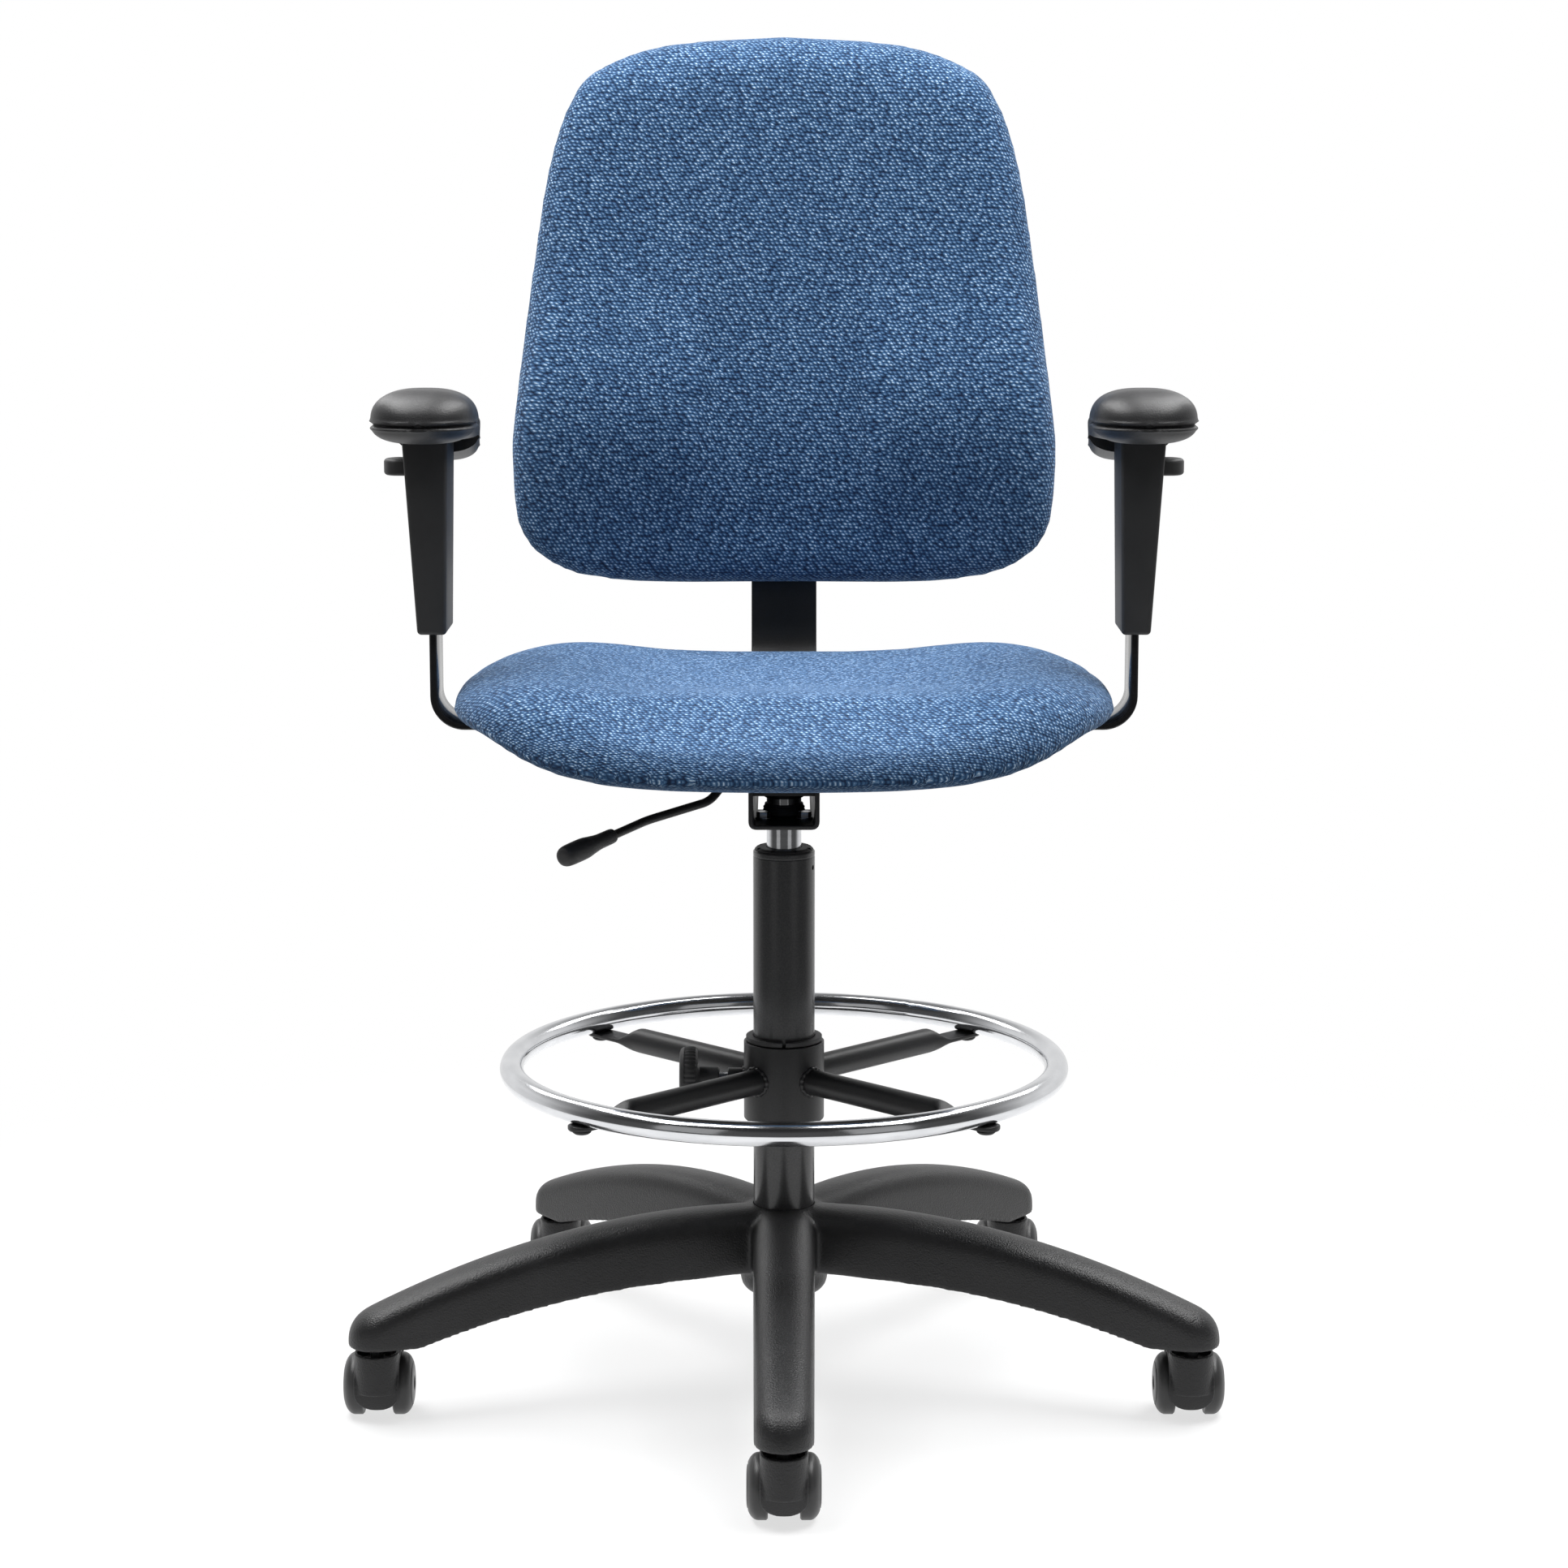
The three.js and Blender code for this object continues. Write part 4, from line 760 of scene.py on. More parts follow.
NYLON = moulding("pebbled_nylon", "nylon", (0.008, 0.008, 0.0085), (0.017, 0.017, 0.018), (0.34, 0.44),
                 0.0012, 0.00030)
WHEEL = moulding("smooth_nylon", "wheel", (0.032, 0.032, 0.032), (0.047, 0.047, 0.048), (0.32, 0.42),
                 0.0006, 0.00005)
MOULDED = moulding("matte_moulding", "moulded", (0.027, 0.027, 0.028), (0.040, 0.040, 0.041),
                   (0.46, 0.58), 0.0006, 0.00003, specular=0.4)
SKIN = moulding("self_skinned_foam", "polyurethane", (0.016, 0.016, 0.017), (0.027, 0.027, 0.028),
                (0.38, 0.48), 0.0011, 0.00010)
COLUMN_PAINT = paint("semi_gloss_paint", "column", (0.042, 0.042, 0.043), (0.056, 0.056, 0.057),
                     (0.20, 0.28), 0.0012, 0.00002)
ENAMEL = paint("gloss_enamel", "column", (0.008, 0.008, 0.009), (0.013, 0.013, 0.014),
               (0.07, 0.13), 0.0016, 0.00001)
POWDER = paint("powder_coat", "powder_coat", (0.010, 0.010, 0.011), (0.017, 0.017, 0.018),
               (0.36, 0.48), 0.0009, 0.00006)
CHROME = bright_metal("chrome_plate", "chrome", (0.66, 0.67, 0.69), (0.76, 0.77, 0.79), (0.11, 0.16),
                      0.03, 0.000004)
STEEL = bright_metal("zinc_plate", "steel", (0.38, 0.39, 0.41), (0.60, 0.61, 0.63), (0.22, 0.38),
                     0.004, 0.00002)
PLYWOOD = plywood("stained_ply", "plywood")
TWEED = tweed("blue_tweed", "fabric")
FINISHES = {m["slot"]: m for m in
            (NYLON, WHEEL, MOULDED, SKIN, COLUMN_PAINT, POWDER, CHROME, STEEL, PLYWOOD, TWEED)}


def finish_cad_nodes():
    """Every CAD node has its own finish, so that none shows plain wherever it is seen."""
    for row in frame["record"]["subparts"]:
        mesh = frame["nodes"][row["node"]].data
        mesh.materials.clear()
        mesh.materials.append(FINISHES[row["material_slot"]])
        shade(mesh, 30)


# ---- Base

STAR_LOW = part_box("base_star")[0]
CASTER_CIRCLE = -middle_of("caster_1_stem").y
LEG_NUMBERS = range(1, LEG_COUNT + 1)


def leg_top(radius):
    share = (radius - LEG_CREST_RADIUS) / (CASTER_CIRCLE - LEG_CREST_RADIUS)
    height = LEG_CREST_HEIGHT - (LEG_CREST_HEIGHT - LEG_TIP_HEIGHT) * share**2
    into_tip = min(1.0, max(0.0, (radius - CASTER_CIRCLE) / LEG_TIP_RADIUS))
    return STAR_LOW.z + height * (1 - into_tip**3) ** (1 / 3)


def leg_arch(radius):
    span = CASTER_CIRCLE - ARCH_END_INSET - ARCH_CREST_RADIUS
    share = min(1.0, max(0.0, (radius - ARCH_CREST_RADIUS) / span))
    return STAR_LOW.z + ARCH_CREST_HEIGHT * (1 - share**2)


def leg_half_width(radius):
    if radius < CASTER_CIRCLE:
        return LEG_ROOT_HALF_WIDTH + (LEG_TIP_RADIUS - LEG_ROOT_HALF_WIDTH) * radius / CASTER_CIRCLE
    return math.sqrt(max(0.0, LEG_TIP_RADIUS**2 - (radius - CASTER_CIRCLE) ** 2))


def leg_section(radius, inset, turn):
    """A leg's section at a distance from the column: crowned on top, straight at its sides."""
    half = leg_half_width(radius) - inset
    top = leg_top(radius) - inset
    bottom = STAR_LOW.z - LEG_WALL if inset else leg_arch(radius)
    crown = min(LEG_CROWN, (top - bottom) * 0.7)
    ring = [(half, bottom)]
    for i in range(17):
        angle = math.pi * i / 16
        across = math.copysign(abs(math.cos(angle)) ** 0.8, math.cos(angle))
        ring.append((half * across, top - crown + crown * math.sin(angle) ** 0.8))
    ring.append((-half, bottom))
    return [turn @ Vector((radius, across, height)) for across, height in ring]


def leg(name, inset, start, end, steps, turn):
    radii = [start + (end - start) * math.sin(math.pi / 2 * i / steps) for i in range(steps + 1)]
    return loft(name, [leg_section(radius, inset, turn) for radius in radii])


def build_base():
    turns = [Matrix.Rotation(math.radians(360 / LEG_COUNT * i - 90), 4, "Z") for i in range(LEG_COUNT)]
    crest = STAR_LOW.z + LEG_CREST_HEIGHT - 0.001
    hub_foot = crest - HUB_DEPTH
    hub = turned("base", [
        (0, hub_foot), (HUB_RADIUS, hub_foot), (HUB_RADIUS, crest - 0.012),
        (HUB_SKIRT_RADIUS, crest), (0, crest),
    ], rounding=0.006)
    skirt_foot, skirt_top = hub_foot - HUB_SKIRT_DROP, crest - 0.03
    skirt = turned("base_skirt", [
        (0, skirt_foot), (HUB_SKIRT_RADIUS, skirt_foot), (HUB_SKIRT_RADIUS, skirt_top), (0, skirt_top),
    ], rounding=0.002)
    tip = CASTER_CIRCLE + LEG_TIP_RADIUS * 0.995
    legs = [leg("leg", 0.0, 0.012, tip, 40, turn) for turn in turns]
    star = melted(
        joined(hub, skirt, *legs), BASE_VOXEL, [(3, ""), (26, "soften")],
        lambda co: float(smooth_step((FILLET_RADIUS - co.xy.length) / FILLET_RUN)),
    )
    reach = CASTER_CIRCLE - LEG_TIP_RADIUS
    hollows = [leg("hollow", LEG_WALL, HUB_RADIUS + LEG_WALL, reach, 12, turn) for turn in turns]
    bore = turned("bore", [
        (0, hub_foot - 0.02), (HUB_BORE, hub_foot - 0.02), (HUB_BORE, crest - 0.001),
        (HUB_BORE + 0.0022, crest + 0.004), (0, crest + 0.004),
    ])
    carve(star, bore, *hollows)
    star.data.shade_smooth()
    star.data.set_sharp_from_angle(angle=math.radians(50))
    dress(star, "base", NYLON, "base_star")


# ---- Casters, each shape made once about its stem's axis


def caster_hood():
    wheel_low, wheel_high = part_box("caster_1_wheel_right")
    hood_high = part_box("caster_1_hood")[1]
    stem = middle_of("caster_1_stem")
    radius = (wheel_high.z - wheel_low.z) / 2
    axle_y = (wheel_low.y + wheel_high.y) / 2 - stem.y
    half = hood_high.x
    axle = Vector((0, axle_y, radius))
    sideways = along((1, 0, 0), axle)
    well = radius + 0.001
    rim = well + HOOD_WALL
    fender = turned("hood", [(0, -half), (rim, -half), (rim, half), (0, half)], sideways)
    cup = turned("cup", [(0, radius), (half, radius), (half, hood_high.z), (0, hood_high.z)])
    fender = boolean(fender, "UNION", [cup])
    tip = radius - HOOD_TONGUE_DROP
    outline = []
    for i in range(-16, 17):
        angle = math.pi / 2 * i / 16
        outline.append((half * math.sin(angle), tip + HOOD_TONGUE_ROUND * (1 - math.cos(angle) ** 0.8)))
    outline += [(half, hood_high.z), (-half, hood_high.z)]
    boolean(fender, "INTERSECT", [prism("tongue", outline, -FAR, FAR, "Y", 0)])
    inner = wheel_low.x - 0.001
    for side in (-1, 1):
        low, high = sorted((side * inner, side * 2 * half))
        carve(fender, turned("well", [(0, low), (well, low), (well, high), (0, high)], sideways))
    cup_bore, cup_floor = half - HOOD_CUP_WALL, hood_high.z - 0.006
    carve(
        fender,
        block("rear", (-FAR, axle_y + HOOD_REAR, 0), (FAR, FAR, FAR), 0),
        block("skirt", (-FAR, axle_y + HOOD_SKIRT, 0), (FAR, FAR, radius - HOOD_SKIRT_DROP), 0),
        turned("cup_hollow", [(0, cup_floor), (cup_bore, cup_floor), (cup_bore, FAR), (0, FAR)]),
        turned("stem_hole", [(0, 0.036), (STEM_BORE, 0.036), (STEM_BORE, FAR), (0, FAR)]),
    )
    return melted(fender, HOOD_VOXEL, [(3, "")])


def caster_wheel():
    """A wheel about its own centre: flat tread, domed outer face with a shallow ring, hub boss."""
    low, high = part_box("caster_1_wheel_right")
    radius, width = (high.z - low.z) / 2, high.x - low.x
    boss, dish = AXLE_RADIUS * 2, radius * WHEEL_DISH
    profile = [(0, 0), (boss, 0), (boss, WHEEL_DISH_DEPTH), (dish, WHEEL_DISH_DEPTH), (dish, 0),
               (radius - WHEEL_CHAMFER, 0), (radius, WHEEL_CHAMFER), (radius, WHEEL_TREAD)]
    for i in range(1, WHEEL_DOME_STEPS + 1):
        angle = math.pi / 2 * i / WHEEL_DOME_STEPS
        reach = radius * (WHEEL_FACE + (1 - WHEEL_FACE) * math.cos(angle))
        out = WHEEL_TREAD + (width - WHEEL_TREAD) * math.sin(angle)
        profile.append((reach, out))
        if i == WHEEL_GROOVE_STEP:
            profile += [(reach - 0.0006, out - 0.0007), (reach - 0.0014, out - 0.0001)]
    profile += [(boss, width), (boss - 0.0008, width - 0.001), (0, width - 0.001)]
    return lathe("wheel", off_axis(profile), sides=56)


def build_casters():
    hood = caster_hood()
    wheel = caster_wheel()
    for number in LEG_NUMBERS:
        stem = middle_of(f"caster_{number}_stem")
        place = Matrix.Translation((stem.x, stem.y, 0))
        cover = copied(hood, f"caster_{number}_cover", place)
        dress(cover, f"caster_{number}", NYLON, f"caster_{number}_hood")
        for side, axis in (("right", (1, 0, 0)), ("left", (-1, 0, 0))):
            node = f"caster_{number}_wheel_{side}"
            low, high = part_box(node)
            inner = low.x if side == "right" else high.x
            place = along(axis, (inner, (low.y + high.y) / 2, (low.z + high.z) / 2))
            dress(copied(wheel, f"caster_{number}_tyre_{side}", place), node, WHEEL, node)
    for master in (hood, wheel):
        bpy.data.objects.remove(master)


def copied(piece, name, place):
    """A copy whose place is in its mesh, so that its object sits at the origin."""
    mesh = piece.data.copy()
    mesh.transform(place)
    made = bpy.data.objects.new(name, mesh)
    bpy.context.scene.collection.objects.link(made)
    return made


# ---- Column and gas lift


def build_column():
    low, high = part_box("column_tube")
    radius = high.x
    groove = high.z - COLUMN_GROOVE_DROP
    groove_radius = radius - COLUMN_GROOVE
    shell = turned("column", [
        (0, low.z), (radius, low.z), (radius, groove - 0.0005), (groove_radius, groove - 0.0003),
        (groove_radius, groove + 0.0003), (radius, groove + 0.0005), (radius, high.z - COLUMN_CHAMFER),
        (radius - COLUMN_CHAMFER, high.z), (0, high.z),
    ], rounding=0.0003, sides=96)
    side_place = along((math.cos(SIDE_HOLE_TURN), -math.sin(SIDE_HOLE_TURN), 0),
                       (0, 0, high.z - SIDE_HOLE_DROP))
    start, end = radius - 2 * COLUMN_WALL, radius + CUT
    side_hole = turned("side_hole", [
        (0, start), (SIDE_HOLE_RADIUS, start), (SIDE_HOLE_RADIUS, end), (0, end),
    ], side_place, sides=24)
    inner, floor, top = radius - COLUMN_WALL, low.z + COLUMN_FLOOR, high.z + CUT
    bore = turned("bore", [(0, floor), (inner, floor), (inner, top), (0, top)], sides=96)
    dress(carve(shell, side_hole, bore), "base", COLUMN_PAINT, "column_tube")
    build_bush(radius - 0.001)
    low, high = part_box("gas_cylinder")
    lift = turned("lift_cylinder", [(0, low.z), (high.x, low.z), (high.x, high.z), (0, high.z)],
                  rounding=0.001, sides=96)
    dress(lift, "seat", CHROME, "gas_cylinder")


def build_bush(lip):
    """The guide bush's rim stands above the column, with notches round it."""
    low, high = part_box("column_bush")
    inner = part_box("gas_cylinder")[1].x + TOUCH
    neck, rim_foot = high.x - BUSH_NECK, high.z - BUSH_RIM_HEIGHT
    rim = turned_tube("bush_rim", [
        (inner, low.z), (neck, low.z), (neck, rim_foot), (lip, rim_foot), (lip - BUSH_RIM_CHAMFER, high.z),
        (inner, high.z),
    ], sides=96)
    notches = []
    for i in range(BUSH_NOTCHES):
        notch = block("notch", (lip - 0.004, -NOTCH_HALF_WIDTH, high.z - NOTCH_DEPTH),
                      (lip + 0.002, NOTCH_HALF_WIDTH, high.z + 0.002), 0)
        notch.data.transform(Matrix.Rotation(2 * math.pi * (i + 0.5) / BUSH_NOTCHES, 4, "Z"))
        notches.append(notch)
    dress(carve(rim, *notches), "base", MOULDED, "column_bush")


# ---- Foot ring

SPOKE_ANGLES = [math.radians(45 + 360 / SPOKE_COUNT * i) for i in range(SPOKE_COUNT)]


def ring_tube():
    """The chrome ring, with a hairline where its two ends were butted and polished."""
    level = middle_of("foot_ring").z
    path, radii = [], []
    for i in range(RING_STEPS):
        angle = 2 * math.pi * i / RING_STEPS
        path.append((RING_RADIUS * math.cos(angle), RING_RADIUS * math.sin(angle), level))
        radii.append(RING_TUBE_RADIUS - (RING_SEAM_DEPTH if i == RING_SEAM_STEP else 0.0))
    return tube("chrome_ring", path, radii, sides=72, closed=True)


def spoke(turn, height):
    """A bar that flattens into a tongue under the ring, its end rounded about the screw."""
    stations = np.concatenate([
        np.linspace(COLLAR_RADIUS - SPOKE_SUNK, SPOKE_ROUND_END, 8),
        np.linspace(SPOKE_ROUND_END, TONGUE_START, 9)[1:],
        RING_RADIUS + TONGUE_HALF_WIDTH * np.sin(np.linspace(-1.2, 1.5, 16)),
    ])
    rings = []
    for station in stations:
        flat = float(smooth_step((station - SPOKE_ROUND_END) / (TONGUE_START - SPOKE_ROUND_END)))
        wide = SPOKE_RADIUS + (TONGUE_HALF_WIDTH - SPOKE_RADIUS) * flat
        if station > RING_RADIUS:
            wide = math.sqrt(max(1e-7, TONGUE_HALF_WIDTH**2 - (station - RING_RADIUS) ** 2))
        tall = SPOKE_RADIUS + (TONGUE_THICKNESS / 2 - SPOKE_RADIUS) * flat
        rise = SPOKE_RISE * (1 - flat)
        section = superellipse(wide, tall, 2 + 3 * flat, 28)
        rings.append([turn @ Vector((station, across, height + rise + up)) for across, up in section])
    return loft("spoke", rings, 60)


def weld_bead(turn, reach, height, bead):
    """A ripple of weld on the collar, round the foot of a bar that stands out of it."""
    path, radii = [], []
    for i in range(WELD_STEPS):
        angle = 2 * math.pi * i / WELD_STEPS
        across, up = reach * math.cos(angle), reach * math.sin(angle)
        out = math.sqrt(COLLAR_RADIUS**2 - across**2)
        path.append(turn @ Vector((out, across, height + up)))
        radii.append(bead + WELD_RIPPLE * math.sin(16 * angle))
    return tube("bead", path, radii, sides=12, closed=True)


def build_foot_rest():
    dress(ring_tube(), "ring", CHROME, "foot_ring")
    low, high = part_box("foot_ring_frame")
    spoke_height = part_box("foot_ring")[0].z - SPOKE_DROP
    knob_height = middle_of("clamp_knob").z
    top = high.z - TOUCH
    collar = turned_tube("ring_frame", [
        (COLLAR_BORE, low.z), (COLLAR_RADIUS - COLLAR_CHAMFER, low.z),
        (COLLAR_RADIUS, low.z + COLLAR_CHAMFER), (COLLAR_RADIUS, top), (COLLAR_BORE, top),
    ], rounding=0.0005, sides=96)
    turns = [Matrix.Rotation(angle, 4, "Z") for angle in SPOKE_ANGLES]
    boss_place = along((-1, 0, 0), (0, 0, knob_height))
    boss_end = COLLAR_RADIUS + BOSS_LENGTH
    boss = turned_tube("boss", [
        (STUD_HOLE, COLLAR_BORE), (BOSS_RADIUS, COLLAR_BORE), (BOSS_RADIUS, boss_end), (STUD_HOLE, boss_end),
    ], boss_place, sides=40)
    left = Matrix.Rotation(math.pi, 4, "Z")
    beads = [weld_bead(turn, SPOKE_RADIUS + TOUCH, spoke_height + SPOKE_RISE, 0.0019) for turn in turns]
    beads.append(weld_bead(left, BOSS_RADIUS + TOUCH, knob_height, 0.0013))
    spokes = [spoke(turn, spoke_height) for turn in turns]
    dress(joined(collar, boss, *beads, *spokes), "ring", POWDER, "foot_ring_frame")
    build_ring_bush()
    for number in range(1, SPOKE_COUNT + 1):
        build_ring_screw(number)
    build_clamp()


def build_ring_bush():
    """The split plastic bush between the collar and the column."""
    low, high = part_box("foot_ring_bush")
    flange_z = high.z - BUSH_FLANGE
    bush = turned_tube("split_bush", [
        (BUSH_BORE, low.z), (COLLAR_BORE - TOUCH, low.z), (COLLAR_BORE - TOUCH, flange_z), (high.x, flange_z),
        (high.x, high.z), (BUSH_BORE, high.z),
    ], sides=96)
    slit = block("slit", (-BUSH_SLIT, -high.x - CUT, low.z - CUT), (BUSH_SLIT, 0, high.z + CUT), 0)
    dress(carve(bush, slit), "ring_bush", MOULDED, "foot_ring_bush")


def build_ring_screw(number):
    """A screw from below with a domed cap over its head."""
    node = f"foot_ring_screw_{number}"
    low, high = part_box(node)
    centre = (low + high) / 2
    dome = [(radius, low.z + up) for radius, up in SCREW_CAP]
    dome += [(SCREW_CAP[-1][0], high.z), (0, high.z)]
    place = Matrix.Translation((centre.x, centre.y, 0))
    dress(turned(f"screw_cap_{number}", dome, place, sides=32), "ring", MOULDED, node)


def build_clamp():
    left = along((-1, 0, 0), (0, 0, middle_of("clamp_knob").z))
    stud_low, stud_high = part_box("clamp_stud")
    start, end = -stud_high.x, -stud_low.x
    thread = [(0, start), (THREAD_ROOT, start)]
    for i in range(int((end - start) / THREAD_PITCH)):
        foot = start + i * THREAD_PITCH
        thread += [(THREAD_ROOT, foot + THREAD_FLAT), (THREAD_CREST, foot + THREAD_PITCH / 2)]
    thread += [(THREAD_ROOT, end), (0, end)]
    stud = lathe("threaded_stud", off_axis(thread), left, sides=28)
    dress(stud, "knob", STEEL, "clamp_stud")
    knob_low, knob_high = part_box("clamp_knob")
    foot, head = -knob_high.x, -knob_low.x - KNOB_DEPTH
    grip = [(0, foot), (KNOB_STEM - KNOB_CHAMFER, foot), (KNOB_STEM, foot + 0.001), (KNOB_STEM, head - 0.002)]
    grip += [(radius, head + up, *ribbed) for radius, up, *ribbed in KNOB_CAP]
    knob = lathe("hand_knob", off_axis(grip), left, sides=KNOB_RIBS * 6, ribs=KNOB_RIBS,
                 rib_depth=KNOB_RIB_DEPTH)
    dress(knob, "knob", MOULDED, "clamp_knob")


# ---- Mechanism and lever


def build_mechanism():
    low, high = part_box("mechanism_channel")
    half = high.x - CHANNEL_FLANGE
    wall = CHANNEL_WALL
    inside = half - wall
    outer = rounded([(half, high.z), (half, low.z), (-half, low.z), (-half, high.z)], CHANNEL_CORNER,
                    steps=8, closed=False)
    inner = rounded([(-inside, high.z), (-inside, low.z + wall), (inside, low.z + wall), (inside, high.z)],
                    CHANNEL_CORNER - wall, steps=8, closed=False)
    trough = prism("channel", [tuple(p) for p in outer + inner], low.y, high.y, "Y", 0.0007)
    plates = [
        block("flange_right", (inside, low.y, high.z - wall), (high.x, high.y, high.z), 0.0010),
        block("flange_left", (-high.x, low.y, high.z - wall), (-inside, high.y, high.z), 0.0010),
        cross_plate(inside),
    ]
    bore_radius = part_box("gas_cylinder")[1].x + TOUCH
    bottom, top = low.z - CUT, low.z + CUT
    bore = turned("bore", [(0, bottom), (bore_radius, bottom), (bore_radius, top), (0, top)])
    lever_place = along((-1, 0, 0), (0, 0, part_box("lever_rod")[1].z - LEVER_RADIUS))
    near, far = half - CUT, half + CUT
    lever_hole = turned("hole", [(0, near), (LEVER_HOLE, near), (LEVER_HOLE, far), (0, far)],
                        lever_place, sides=32)
    edge = half - CHANNEL_CORNER
    window = block("window", (-edge, WINDOW_START, bottom), (edge, high.y - WINDOW_END, top), 0)
    for tool in (bore, lever_hole, window):
        carve(trough, tool)
    dress(joined(trough, *plates), "seat", POWDER, "mechanism_channel")
    build_mechanism_bolts(low, high, half)
    build_boot()
    build_socket()


def cross_plate(half):
    """The plate that grips the gas lift's taper, slotted beside it."""
    socket_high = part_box("taper_socket")[1]
    level = socket_high.z + TOUCH
    plate = block("cross_plate", (-half, -PLATE_REACH, level),
                  (half, PLATE_REACH, level + PLATE_THICKNESS), 0)
    reach = PLATE_REACH - PLATE_SLOT_END
    slots = []
    for side in (-1, 1):
        near, far = sorted((side * (socket_high.x + 0.001), side * (half - 0.001)))
        slots.append(block("slot", (near, -reach, 0), (far, reach, 1), 0))
    return carve(plate, *slots)


def build_mechanism_bolts(low, high, half):
    """Washer-headed bolts up through the channel's floor, and four through its flanges."""
    out, forward = FLOOR_BOLT
    places = [along((0, 0, 1), (side * out, forward, low.z + CHANNEL_WALL)) for side in (-1, 1)]
    for side in (-1, 1):
        for y in FLANGE_BOLT_ROWS:
            places.append(along((0, 0, -1), (side * (half + FLANGE_BOLT_OUT), y, high.z - CHANNEL_WALL)))
    bolts = []
    for place in places:
        bolts.append(turned("bolt", [
            (0, -0.0002), (WASHER_RADIUS, -0.0002), (WASHER_RADIUS, WASHER_HEIGHT), (0, WASHER_HEIGHT),
        ], place, sides=40))
        bolts.append(lathe("head", off_axis(BOLT_HEAD), place, sides=6))
    bolts[0].name = "mechanism_bolts"
    dress(joined(*bolts), "seat", STEEL)


def build_boot():
    low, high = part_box("taper_boot")
    top = high.z - BOOT_GAP
    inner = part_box("gas_cylinder")[1].x + TOUCH
    foot, neck = high.x, high.x - BOOT_TAPER
    boot = turned_tube("boot", [
        (inner, low.z), (foot, low.z), (foot, low.z + 0.003), (foot - BOOT_WAIST, low.z + 0.0045),
        (foot - 0.0002, low.z + 0.006), (neck, top - 0.002), (neck, top), (inner, top),
    ], rounding=0.0008)
    dress(boot, "seat", MOULDED, "taper_boot")


def build_socket():
    low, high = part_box("taper_socket")
    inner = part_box("gas_cylinder")[1].x + TOUCH
    socket = turned_tube("socket", [(inner, low.z), (high.x, low.z), (high.x, high.z), (inner, high.z)])
    dress(socket, "seat", POWDER, "taper_socket")


def build_lever():
    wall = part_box("mechanism_channel")[0].x + CHANNEL_FLANGE
    inner_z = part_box("lever_rod")[1].z - LEVER_RADIUS
    points = [Vector((0.002, 0, inner_z))]
    points += [Vector((wall - out, -forward, inner_z - down)) for out, forward, down in LEVER_BENDS]
    out, forward, down = LEVER_TIP
    tip = Vector((wall - out, -forward, inner_z - down))
    direction = (tip - points[-1]).normalized()
    points.append(tip - direction * (HANDLE_LENGTH - HANDLE_SOCKET))
    rod = tube("lever_bar", rounded(points, 0.008, steps=8, closed=False), LEVER_RADIUS)
    dress(rod, "lever", POWDER, "lever_rod")
    place = along(direction, tip - direction * HANDLE_LENGTH)
    line = [tuple(point) for point in spline(HANDLE_LINE, 40)]
    grip = [(0, 0), (HANDLE_BORE, 0), *line, (0, HANDLE_LENGTH)]
    handle = lathe("lever_grip", off_axis(grip), place, sides=48)
    dress(handle, "lever", MOULDED, "lever_handle")


# ---- Cushions


def cushion_mesh(name, outline, bottom, edge, top, rings=18):
    """A closed cushion over an outline about its middle; bottom, edge and top give its heights."""
    shares = np.sin(np.linspace(0.06, 1, rings) * np.pi / 2)

    def ring(share, surface):
        x, y = outline[:, 0] * share, outline[:, 1] * share
        rim = edge(outline[:, 0], outline[:, 1])
        rise = np.sqrt(1 - share**CUSHION_FULLNESS)
        return np.stack([x, y, rim + (surface(x, y) - rim) * rise], axis=1)

    below = [ring(share, bottom) for share in shares[:-1]]
    above = [ring(share, top) for share in reversed(shares[:-1])]
    return loft(name, [*below, ring(1.0, top), *above], 80)


def plumped(piece, stapled):
    """Cloth under pressure rounds the cushion out; no point moves further than the cap.

    The cover is stapled down below a height, and stays put there."""
    step = piece.modifiers.new("voxels", "REMESH")
    step.mode = "VOXEL"
    step.voxel_size = CLOTH_VOXEL
    apply_modifiers(piece)
    count = len(piece.data.vertices)
    before = np.zeros(count * 3)
    piece.data.vertices.foreach_get("co", before)
    pins = piece.vertex_groups.new(name="pins")
    for vertex in piece.data.vertices:
        pins.add([vertex.index], 1.0 if vertex.co.z < stapled else 0.0, "REPLACE")
    cloth = piece.modifiers.new("cloth", "CLOTH")
    settings = cloth.settings
    settings.quality = 5
    settings.mass = 0.4
    settings.tension_stiffness = 18
    settings.compression_stiffness = 18
    settings.bending_stiffness = 4
    settings.use_pressure = True
    settings.uniform_pressure_force = CLOTH_PRESSURE
    settings.effector_weights.gravity = 0
    settings.vertex_group_mass = "pins"
    settings.pin_stiffness = 2
    for number in range(1, CLOTH_FRAMES + 1):
        bpy.context.scene.frame_set(number)
    apply_modifiers(piece)
    bpy.context.scene.frame_set(1)
    after = np.zeros(count * 3)
    piece.data.vertices.foreach_get("co", after)
    shift = (after - before).reshape(-1, 3)
    length = np.linalg.norm(shift, axis=1, keepdims=True)
    shift *= np.minimum(1, CLOTH_CAP / np.maximum(length, 1e-9))
    piece.data.vertices.foreach_set("co", (before.reshape(-1, 3) + shift).ravel())
    piece.data.update()
    return piece


def softened(piece, iterations=6):
    step = piece.modifiers.new("smooth", "SMOOTH")
    step.factor = 0.5
    step.iterations = iterations
    fine = piece.modifiers.new("fine", "SUBSURF")
    fine.levels = fine.render_levels = 1
    apply_modifiers(piece)
    piece.data.shade_smooth()
    return piece


